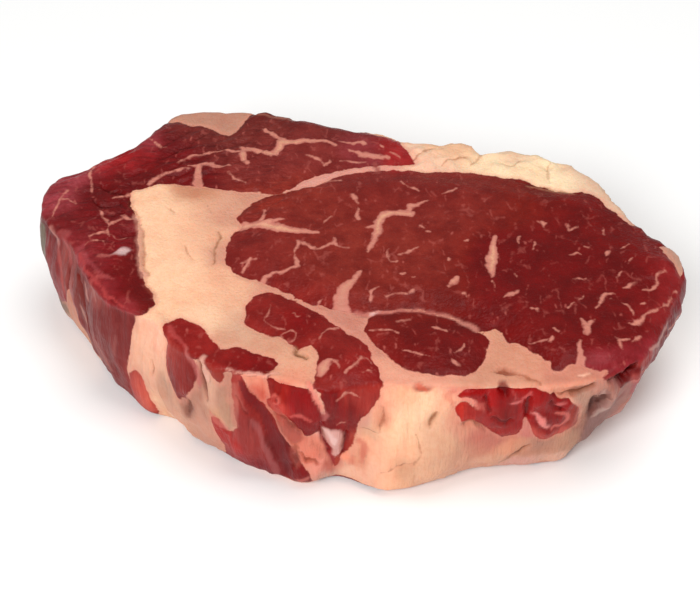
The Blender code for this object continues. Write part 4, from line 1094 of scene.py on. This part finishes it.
FACE_STAINS_AND_PAINTED_LIGHT = (
    ("#b8665c", 0.85, (1.8, 1.2, 0.9), (0.6, -25), (5, -25.1), (10, -24.5), (15, -23.9), (21, -25.3)),
    ("#c0786a", 0.85, (0.9, 1.4, 1.6), (21, -25.3), (24.6, -26.9), (27.4, -28.8), (30.4, -31)),
    ("#f2c4bc", 0.8, (0.5, 1.1, 0.5), (4.2, -25), (5, -25), (6, -25)),
    ("#94443c", 0.75, (1.4, 1.7, 1.4), (5.8, 33), (6.2, 31.2), (6.4, 29.6)),
    ("#b0705c", 0.5, (0.6, 1.4, 0.6), (-27, 54), (-22, 53.4), (-17, 52.4)),
    # painted highlight: a pale glint of the wet surface on the cap
    ("#e0bcb8", 0.75, (0.8, 2.2, 1.2), (-62.6, -4.4), (-60.6, -3.6), (-59, -2.6)),
    ("#b46058", 0.6, (0.8, 1.4, 0.6), (-66.4, -4.9), (-64, -5), (-61.6, -4.2)),
    ("#a8504e", 0.5, (0.8, 1.6, 0.8), (-77.4, 6.1), (-75.6, 4.3), (-74, 1)),
    # painted highlight: a pinkish red line along the cap's front rim
    ("#a84a4e", 0.5, (0.5, 0.9, 0.5), (-71, -0.1), (-70, -4), (-67.4, -8.2), (-63.4, -13.4)),
    ("#b8524e", 0.55, (0.6, 1.2, 0.6), (-67.6, -11.9), (-64.6, -12.4), (-62, -13.5)),
    ("#cc8c7a", 0.6, (1.0, 1.9, 1.4), (-58.4, 12), (-56.8, 6), (-56.1, 0), (-55.4, -6), (-54.2, -12)),
    # brown line in a crack: partly its own colour, partly painted shade
    ("#a87058", 0.7, (0.5, 0.8, 0.4), (-57.6, 9), (-56, 4.8), (-55.5, 0.8), (-55.2, -5.1), (-53.4, -11.8)),
    ("#b98868", 0.6, (0.4, 0.8, 0.4), (-36, 4.7), (-35.2, 2.3), (-36.1, -1.3), (-36.5, -4.2),
     (-36.6, -7.5)),
    # brown lines in cracks at the front: partly their own colour, partly painted shade
    ("#9c7050", 0.8, (0.6, 1.0, 0.5), (-14.6, -37.2), (-13.8, -39.6), (-11.8, -41.2)),
    ("#a86048", 0.75, (0.6, 2.2, 0.6), (34.6, -45), (36.8, -44.2), (39, -45.4)),
    ("#c88468", 0.6, (0.6, 0.9, 0.5), (38.4, -45.2), (42, -47), (46, -48.2)),
    ("#b98060", 0.5, (0.6, 1.0, 0.5), (47, 23.9), (52, 21.9), (59, 20)),
    ("#a04a38", 0.4, (0.6, 0.9, 0.5), (-54, -12.9), (-52.6, -16.7), (-50.4, -19.6)),
)
VEIN_PINK = "#c87c6c"
FLECK_PINK = "#b65c52"
EDGE_PINK = "#d98c78"
FILM_LIGHT = 0.009       # light that the wet film sends back from dark lean, left out of its own colour
DARKEST_SHARE = 0.22     # what stays at least of a shade when the film's light is left out
BASE_PULL = 0.0006       # how strongly the base colour shows between the dabs


def dabbed(base, dabs, places):
    """A base colour with soft dabs of other colours on it, for each place. Small dabs win over large."""
    total = np.full(len(places), BASE_PULL)
    shade = total[:, None] * linear(base)
    for colour, *spots in dabs:
        for spot in spots:
            middle, reach = np.array(spot[:2]), np.array(spot[2:])
            pull = np.exp(-(((places - middle) / reach) ** 2).sum(1)) / (reach[0] * reach[-1])
            total += pull
            shade += pull[:, None] * linear(colour)
    return shade / total[:, None]


def stains_and_painted_light(at):
    """The colour and the cover of the stains, painted highlights and painted shadows on every vertex."""
    colour = np.zeros((len(at["plan"]), 3))
    cover = np.zeros(len(at["plan"]))
    on_face = 1 - at["side"]
    on_wall = ease(at["v"], -2.4, -1.0) * (1 - at["under"])
    for stain_and_light_rows, where, share in ((FACE_STAINS_AND_PAINTED_LIGHT, at["plan"], on_face), (WALL_STAINS_AND_PAINTED_LIGHT, at["wall"], on_wall)):
        for shade, strength, widths, *points in stain_and_light_rows:
            new = strength * ease(depth_in_stroke(where, widths, points), -0.5, 0.35) * share
            # the first stroke on a bare place gives its whole colour, and a later one blends in
            blend = np.where(cover > 0.02, new, new > 0)
            colour += (linear(shade) - colour) * blend[:, None]
            cover = np.maximum(cover, new)
    return colour, cover


def write_colours(mesh, name, colours):
    whole = np.ones((len(colours), 4))
    whole[:, :3] = colours
    mesh.attributes.new(name, "FLOAT_COLOR", "POINT").data.foreach_set("color", whole.ravel())


def paint(mesh, at, marks):
    """Writes the colours and the depths in lean, veins and cracks where the material reads them."""
    side, plan, wall = at["side"][:, None], at["plan"], at["wall"]
    lean = (1 - side) * dabbed(FACE_LEAN_BASE, FACE_LEAN, plan)
    lean += side * dabbed(WALL_LEAN_BASE, WALL_LEAN_DABS, wall)
    lean = np.maximum(lean - FILM_LIGHT, DARKEST_SHARE * lean)
    fat = (1 - side) * dabbed(FACE_FAT_BASE, FACE_FAT, plan)
    fat += side * dabbed(WALL_FAT_BASE, WALL_FAT_DABS, wall)
    stain_and_painted_light, stain_and_painted_light_cover = stains_and_painted_light(at)
    write_colours(mesh, "lean_shade", lean)
    write_colours(mesh, "fat_shade", fat)
    write_colours(mesh, "stain_and_painted_light", stain_and_painted_light)
    depths = {"side": at["side"], "strand": strand_share(at, marks), "stain_and_painted_light_cover": stain_and_painted_light_cover}
    for name in ("lean", "vein", "crack"):
        depths[name] = marks[name]
    for name, values in depths.items():
        mesh.attributes.new(name, "FLOAT", "POINT").data.foreach_set("value", values)


def make_meat():
    """The steak's piece: cut fine where it shows detail, then sculpted and painted."""
    mould = rounded_copy("steak", "mould")
    meat = rounded_copy("steak", "steak_meat")
    apply_modifier(meat, "REMESH", mode="VOXEL", voxel_size=VOXEL, use_smooth_shade=True)
    lay_on(meat, mould)
    for close_up in (False, True):
        at = survey(meat.data)
        marks = pattern(at)
        above = at["under"] < 0.2
        in_front = (at["u"] > FRONT_START) & (at["u"] < FRONT_END)
        on_face = at["side"] < 0.5
        if close_up:
            edges = (marks["vein"] > -0.3) | (marks["crack"] > -0.3)
            chosen = edges & above & (at["u"] > FRONT_START) & (in_front | on_face)
        else:
            edges = (np.abs(marks["lean"]) < 2.0) | (marks["vein"] > -1.2) | (marks["crack"] > -1.0)
            cap = (at["plan"][:, 0] < -18) & (marks["lean"] > 0) & on_face
            back_fat = (at["plan"][:, 1] > 26) & (marks["lean"] < 0) & on_face
            wall = in_front & (at["side"] > 0.05)
            chosen = ((edges | wall | cap) & above) | back_fat
        divide_faces(meat, chosen)
        lay_on(meat, mould)
    bpy.data.objects.remove(mould)
    at = survey(meat.data)
    marks = pattern(at)
    sculpt(meat, at, marks)
    paint(meat.data, at, marks)
    make_active(meat)
    bpy.ops.object.shade_smooth()
    meat.data.materials.clear()
    meat.data.materials.append(raw_beef())
    return meat


# ---------------------------------------------------------------- materials
# Settings of nodes: a step with a soft start and end, a blend of two colours, and a tint.
SOFT = {"interpolation_type": "SMOOTHSTEP"}
BLEND = {"data_type": "RGBA"}
TINT = {"data_type": "RGBA", "blend_type": "MULTIPLY"}
NO_MOVE = (0, 0, 0)


def per_mm(size):
    """The scale of a pattern whose features are this many millimetres wide."""
    return 1 / (size * MM)


def plug(tree, socket, value):
    """Links the socket to another node's output, or sets it to a plain value."""
    if isinstance(value, bpy.types.NodeSocket):
        tree.links.new(value, socket)
    else:
        socket.default_value = value


def add(tree, kind, *inputs, output=None, **settings):
    """Adds a node with its settings, fills its inputs in order, and returns one of its outputs."""
    node = tree.nodes.new("ShaderNode" + kind)
    for name, value in settings.items():
        setattr(node, name, value)
    shown = [socket for socket in node.inputs if socket.enabled]
    for socket, value in zip(shown, inputs):
        plug(tree, socket, value)
    return next(socket for socket in node.outputs if socket.enabled and output in (None, socket.name))


def shade_by(tree, colour, layers):
    """The colour under layers of texture, each of which tints it more from its start to its end."""
    for texture, start, end, strength, where, tint in layers:
        cover = add(tree, "MapRange", texture, start, end, 0.0, strength, **SOFT)
        cover = add(tree, "Math", cover, where, operation="MULTIPLY")
        colour = add(tree, "Mix", cover, colour, (*tint, 1.0), **TINT)
    return colour


def small_marbling(tree, spot, on_wall):
    """Marbling too small to draw one by one: broken threads between bundles, and flecks. From 0 to 1."""
    slanted = add(tree, "Mapping", spot, NO_MOVE, (0, 0, math.radians(-28)), (1.0, 0.5, 0.3))
    drift = add(tree, "TexNoise", spot, per_mm(3.0), output="Color")
    slanted = add(tree, "Mix", 1.8 * MM, slanted, drift, data_type="VECTOR", clamp_factor=False)
    gaps = add(tree, "TexVoronoi", slanted, per_mm(4.4), feature="DISTANCE_TO_EDGE")
    threads = add(tree, "MapRange", gaps, 0.09, 0.0, 0.0, 0.3, **SOFT)
    breaks = add(tree, "TexNoise", spot, per_mm(2.4))
    breaks = add(tree, "MapRange", breaks, 0.5, 0.66, **SOFT)
    threads = add(tree, "Math", threads, breaks, operation="MULTIPLY")
    flecks = add(tree, "TexVoronoi", slanted, per_mm(2.3))
    lot = add(tree, "SeparateColor", flecks.node.outputs["Color"])
    kept = add(tree, "MapRange", lot, 0.7, 0.8, **SOFT)
    flecks = add(tree, "MapRange", flecks, 0.24, 0.02, 0.0, 0.6, **SOFT)
    flecks = add(tree, "Math", flecks, kept, operation="MULTIPLY")
    marbling = add(tree, "Math", threads, flecks, operation="MAXIMUM")
    fewer = add(tree, "MapRange", on_wall, 0.0, 1.0, 1.0, 0.2)
    return add(tree, "Math", marbling, fewer, operation="MULTIPLY")


def read_paint(tree):
    """What paint wrote on the piece: its depths and shares as numbers, its shades as colours."""
    paint_on = {}
    for name in ("lean", "vein", "crack", "side", "strand", "stain_and_painted_light_cover"):
        paint_on[name] = add(tree, "Attribute", attribute_name=name, output="Fac")
    for name in ("lean_shade", "fat_shade", "stain_and_painted_light"):
        paint_on[name] = add(tree, "Attribute", attribute_name=name, output="Color")
    return paint_on


def beef_grain(tree, spot):
    """Textures from 0 to 1. Bundles of fibre, 1 to 2 mm wide, run through the steak, and aslant in the cap."""
    through = add(tree, "Mapping", spot, NO_MOVE, NO_MOVE, (1.0, 1.0, 0.16))
    hanging = add(tree, "Mapping", spot, NO_MOVE, NO_MOVE, (1.0, 1.0, 0.12))
    aslant = add(tree, "Mapping", spot, NO_MOVE, (0, 0, math.radians(-37)), (0.2, 1.0, 0.3))
    return {
        "bundles": add(tree, "TexNoise", through, per_mm(1.5), 3.0, 0.6),
        "patches": add(tree, "TexNoise", through, per_mm(5.0), 3.0),
        "fibre_ends": add(tree, "TexNoise", through, per_mm(0.7), 3.0),
        "strands": add(tree, "TexNoise", aslant, per_mm(1.5), 3.0, 0.6),
        "fibres": add(tree, "TexNoise", hanging, per_mm(1.3), 4.0, 0.6),
        "mottle": add(tree, "TexNoise", spot, per_mm(4.5), 4.0, 0.6),
        "dimples": add(tree, "TexNoise", spot, per_mm(1.1), 3.0),
        "film": add(tree, "TexNoise", spot, per_mm(2.5), 3.0),
    }


def lean_colour(tree, paint_on, grain, lean_depth, marbling):
    """Lean: darker and lighter bundles, coarse strands in the cap, fibres seen lengthways on the wall."""
    in_cap, on_wall = paint_on["strand"], paint_on["side"]
    colour = shade_by(tree, paint_on["lean_shade"], (
        (grain["patches"], 0.3, 0.7, 1.0, 1.0, (0.72, 0.52, 0.52)),
        (grain["bundles"], 0.4, 0.8, 0.5, 1.0, (1.3, 1.9, 1.9)),
        (grain["bundles"], 0.45, 0.2, 0.4, 1.0, (0.7, 0.6, 0.6)),
        # cap strands darker in furrows, lighter on ridges: partly own colour, partly painted shade and
        # highlight
        (grain["strands"], 0.5, 0.3, 0.7, in_cap, (0.6, 0.4, 0.45)),
        (grain["strands"], 0.55, 0.75, 0.55, in_cap, (1.35, 2.2, 2.2)),
        (grain["fibres"], 0.52, 0.8, 0.45, on_wall, (1.5, 2.6, 2.6)),
        (grain["fibres"], 0.48, 0.25, 0.6, on_wall, (0.62, 0.5, 0.52)),
    ))
    colour = add(tree, "Mix", marbling, colour, rgba(FLECK_PINK), **BLEND)
    return shade_by(tree, colour, ((lean_depth, 0.9, 0.1, 0.25, 1.0, (0.75, 0.6, 0.6)),))


def fat_colour(tree, paint_on, grain, lean_depth):
    """Fat: waxy, mottled, pinker close to the lean."""
    on_wall = paint_on["side"]
    colour = shade_by(tree, paint_on["fat_shade"], (
        (grain["mottle"], 0.4, 0.72, 0.65, 1.0, (0.95, 0.83, 0.8)),
        (grain["dimples"], 0.42, 0.7, 0.35, 1.0, (0.93, 0.84, 0.78)),
        (grain["fibres"], 0.5, 0.75, 0.35, on_wall, (0.93, 0.72, 0.7)),
        (grain["fibres"], 0.45, 0.25, 0.35, on_wall, (0.84, 0.78, 0.74)),
    ))
    near_lean = add(tree, "MapRange", lean_depth, -1.6, -0.1, 0.0, 0.42, **SOFT)
    return add(tree, "Mix", near_lean, colour, rgba(EDGE_PINK), **BLEND)


def with_veins(tree, paint_on, vein_depth, colour):
    """The colour with its veins. They are fat seen through a film of lean, so thin ones are pinker."""
    thick = add(tree, "MapRange", vein_depth, 0.4, 1.6, 0.0, 0.6, **SOFT)
    vein_colour = add(tree, "Mix", thick, rgba(VEIN_PINK), paint_on["fat_shade"], **BLEND)
    vein = add(tree, "MapRange", vein_depth, -0.25, 0.5, **SOFT)
    in_lean = add(tree, "MapRange", paint_on["lean"], -0.6, 0.3, 0.0, 0.92, **SOFT)
    vein = add(tree, "Math", vein, in_lean, operation="MULTIPLY")
    return add(tree, "Mix", vein, colour, vein_colour, **BLEND)


def fine_relief(tree, paint_on, grain):
    """Relief too fine for the mesh: fibre ends, the cap's strands and the wall's fibres."""
    relief = add(tree, "Math", grain["bundles"], 0.8, operation="MULTIPLY")
    cap_strands = add(tree, "Math", grain["strands"], paint_on["strand"], operation="MULTIPLY")
    wall_fibres = add(tree, "Math", grain["fibres"], paint_on["side"], operation="MULTIPLY")
    for texture, height in ((grain["fibre_ends"], 0.6), (cap_strands, 1.4), (wall_fibres, 1.2)):
        relief = add(tree, "Math", texture, height, relief, operation="MULTIPLY_ADD")
    return add(tree, "Bump", 0.8, 0.4 * MM, 0.1, relief)


def raw_beef():
    """Raw beef, cut with a knife and moist: dull red lean and waxy cream fat under a thin wet film."""
    material = bpy.data.materials.new("raw_beef_knife_cut")
    material.use_nodes = True
    tree = material.node_tree
    spot = add(tree, "TexCoord", output="Object")
    paint_on = read_paint(tree)
    grain = beef_grain(tree, spot)

    # edges wander a little, as a knife cut shows them
    wander = add(tree, "TexNoise", spot, per_mm(1.5), 3.0)
    wander = add(tree, "Math", wander, 0.5, operation="SUBTRACT")
    lean_depth = add(tree, "Math", paint_on["lean"], wander, operation="ADD")
    vein_depth = add(tree, "Math", wander, 1.1, paint_on["vein"], operation="MULTIPLY_ADD")
    crack_depth = add(tree, "Math", paint_on["crack"], wander, operation="ADD")
    lean = add(tree, "MapRange", lean_depth, -0.2, 0.24, **SOFT)

    marbling = small_marbling(tree, spot, paint_on["side"])
    red = lean_colour(tree, paint_on, grain, lean_depth, marbling)
    cream = fat_colour(tree, paint_on, grain, lean_depth)
    colour = add(tree, "Mix", lean, cream, red, **BLEND)
    colour = with_veins(tree, paint_on, vein_depth, colour)
    # stains, together with the painted highlights and painted shadows laid in the same layer
    colour = add(tree, "Mix", paint_on["stain_and_painted_light_cover"], colour, paint_on["stain_and_painted_light"], **BLEND)
    # cracks and folds darkened towards brown: painted shade in them
    colour = shade_by(tree, colour, ((crack_depth, -0.35, 0.3, 0.7, 1.0, (0.52, 0.36, 0.28)),))

    # the wet film is smoother on lean than on fat, and nowhere even
    roughness = add(tree, "MapRange", lean, 0.0, 1.0, 0.52, 0.4, **SOFT)
    uneven = add(tree, "MapRange", grain["film"], 0.0, 1.0, -0.2, 0.2)
    finish = {
        "Base Color": colour,
        "Roughness": add(tree, "Math", roughness, uneven, operation="ADD"),
        "IOR": 1.36,
        "Specular IOR Level": 0.22,
        "Subsurface Weight": add(tree, "MapRange", lean, 0.0, 1.0, 0.2, 0.06, **SOFT),
        "Subsurface Radius": (1.0, 0.35, 0.2),
        "Subsurface Scale": 1.0 * MM,
        "Coat Weight": 0.03,
        "Coat Roughness": 0.15,
        "Normal": fine_relief(tree, paint_on, grain),
    }
    for name, value in finish.items():
        plug(tree, tree.nodes["Principled BSDF"].inputs[name], value)
    return material


def matt_paper():
    """Matt white paper: even, with no gloss."""
    material = bpy.data.materials.new("matt_paper")
    material.use_nodes = True
    shader = material.node_tree.nodes["Principled BSDF"]
    for name, value in {"Base Color": rgba("#fbfbfa"), "Roughness": 0.95, "Specular IOR Level": 0.1}.items():
        shader.inputs[name].default_value = value
    return material


# ---------------------------------------------------------------- the studio, in metres and watts
FLOOR_SIZE = 8.0
FLOOR_DROP = 0.05 * MM           # keeps the paper clear of the underside
SKY_STRENGTH = 0.42
SOFTBOXES = (
    # name, place, width and power
    ("front_softbox", (-0.3, -0.75, 0.75), 0.45, 7.2),
    ("top_softbox", (0.15, 0.0, 0.95), 0.5, 3.4),
)
CAMERA_TARGET = (-1.8 * MM, -3.5 * MM, 19 * MM)
CAMERA_DISTANCE = 0.5
CAMERA_ELEVATION = math.radians(44)
FIELD = 0.18754                  # width that the picture takes in at the target
FILM_WIDTH = 36                  # in millimetres, as the lens is


def make_floor():
    make_active(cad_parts["steak"])
    bpy.ops.object.select_all(action="DESELECT")
    bpy.ops.mesh.primitive_plane_add(size=FLOOR_SIZE, location=(0, 0, -FLOOR_DROP))
    floor = bpy.context.object
    floor.name = "floor"
    bpy.ops.object.transform_apply(location=True, rotation=False, scale=False)
    floor.data.materials.append(matt_paper())


def make_lights():
    """A white sky and softboxes that face the steak."""
    world = bpy.data.worlds.new("studio")
    world.use_nodes = True
    background = world.node_tree.nodes["Background"]
    background.inputs["Color"].default_value = (1, 1, 1, 1)
    background.inputs["Strength"].default_value = SKY_STRENGTH
    bpy.context.scene.world = world
    for name, place, width, power in SOFTBOXES:
        data = bpy.data.lights.new(name, "AREA")
        data.shape = "DISK"
        data.size = width
        data.energy = power
        lamp = bpy.data.objects.new(name, data)
        bpy.context.scene.collection.objects.link(lamp)
        lamp.location = place
        x, y, height = place
        lamp.rotation_euler = (math.atan2(math.hypot(x, y), height), 0, math.atan2(-y, -x) - math.pi / 2)


def make_camera():
    data = bpy.data.cameras.new("camera")
    data.sensor_width = FILM_WIDTH
    data.lens = FILM_WIDTH * CAMERA_DISTANCE / FIELD
    data.clip_start = 0.01
    camera = bpy.data.objects.new("camera", data)
    bpy.context.scene.collection.objects.link(camera)
    back = CAMERA_DISTANCE * math.cos(CAMERA_ELEVATION)
    up = CAMERA_DISTANCE * math.sin(CAMERA_ELEVATION)
    camera.location = (CAMERA_TARGET[0], CAMERA_TARGET[1] - back, CAMERA_TARGET[2] + up)
    camera.rotation_euler = (math.pi / 2 - CAMERA_ELEVATION, 0, 0)
    bpy.context.scene.camera = camera


make_camera()
make_floor()
make_lights()
steak_meat = make_meat()
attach(steak_meat, "root")
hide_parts("steak")
bpy.context.scene.view_settings.view_transform = "Standard"
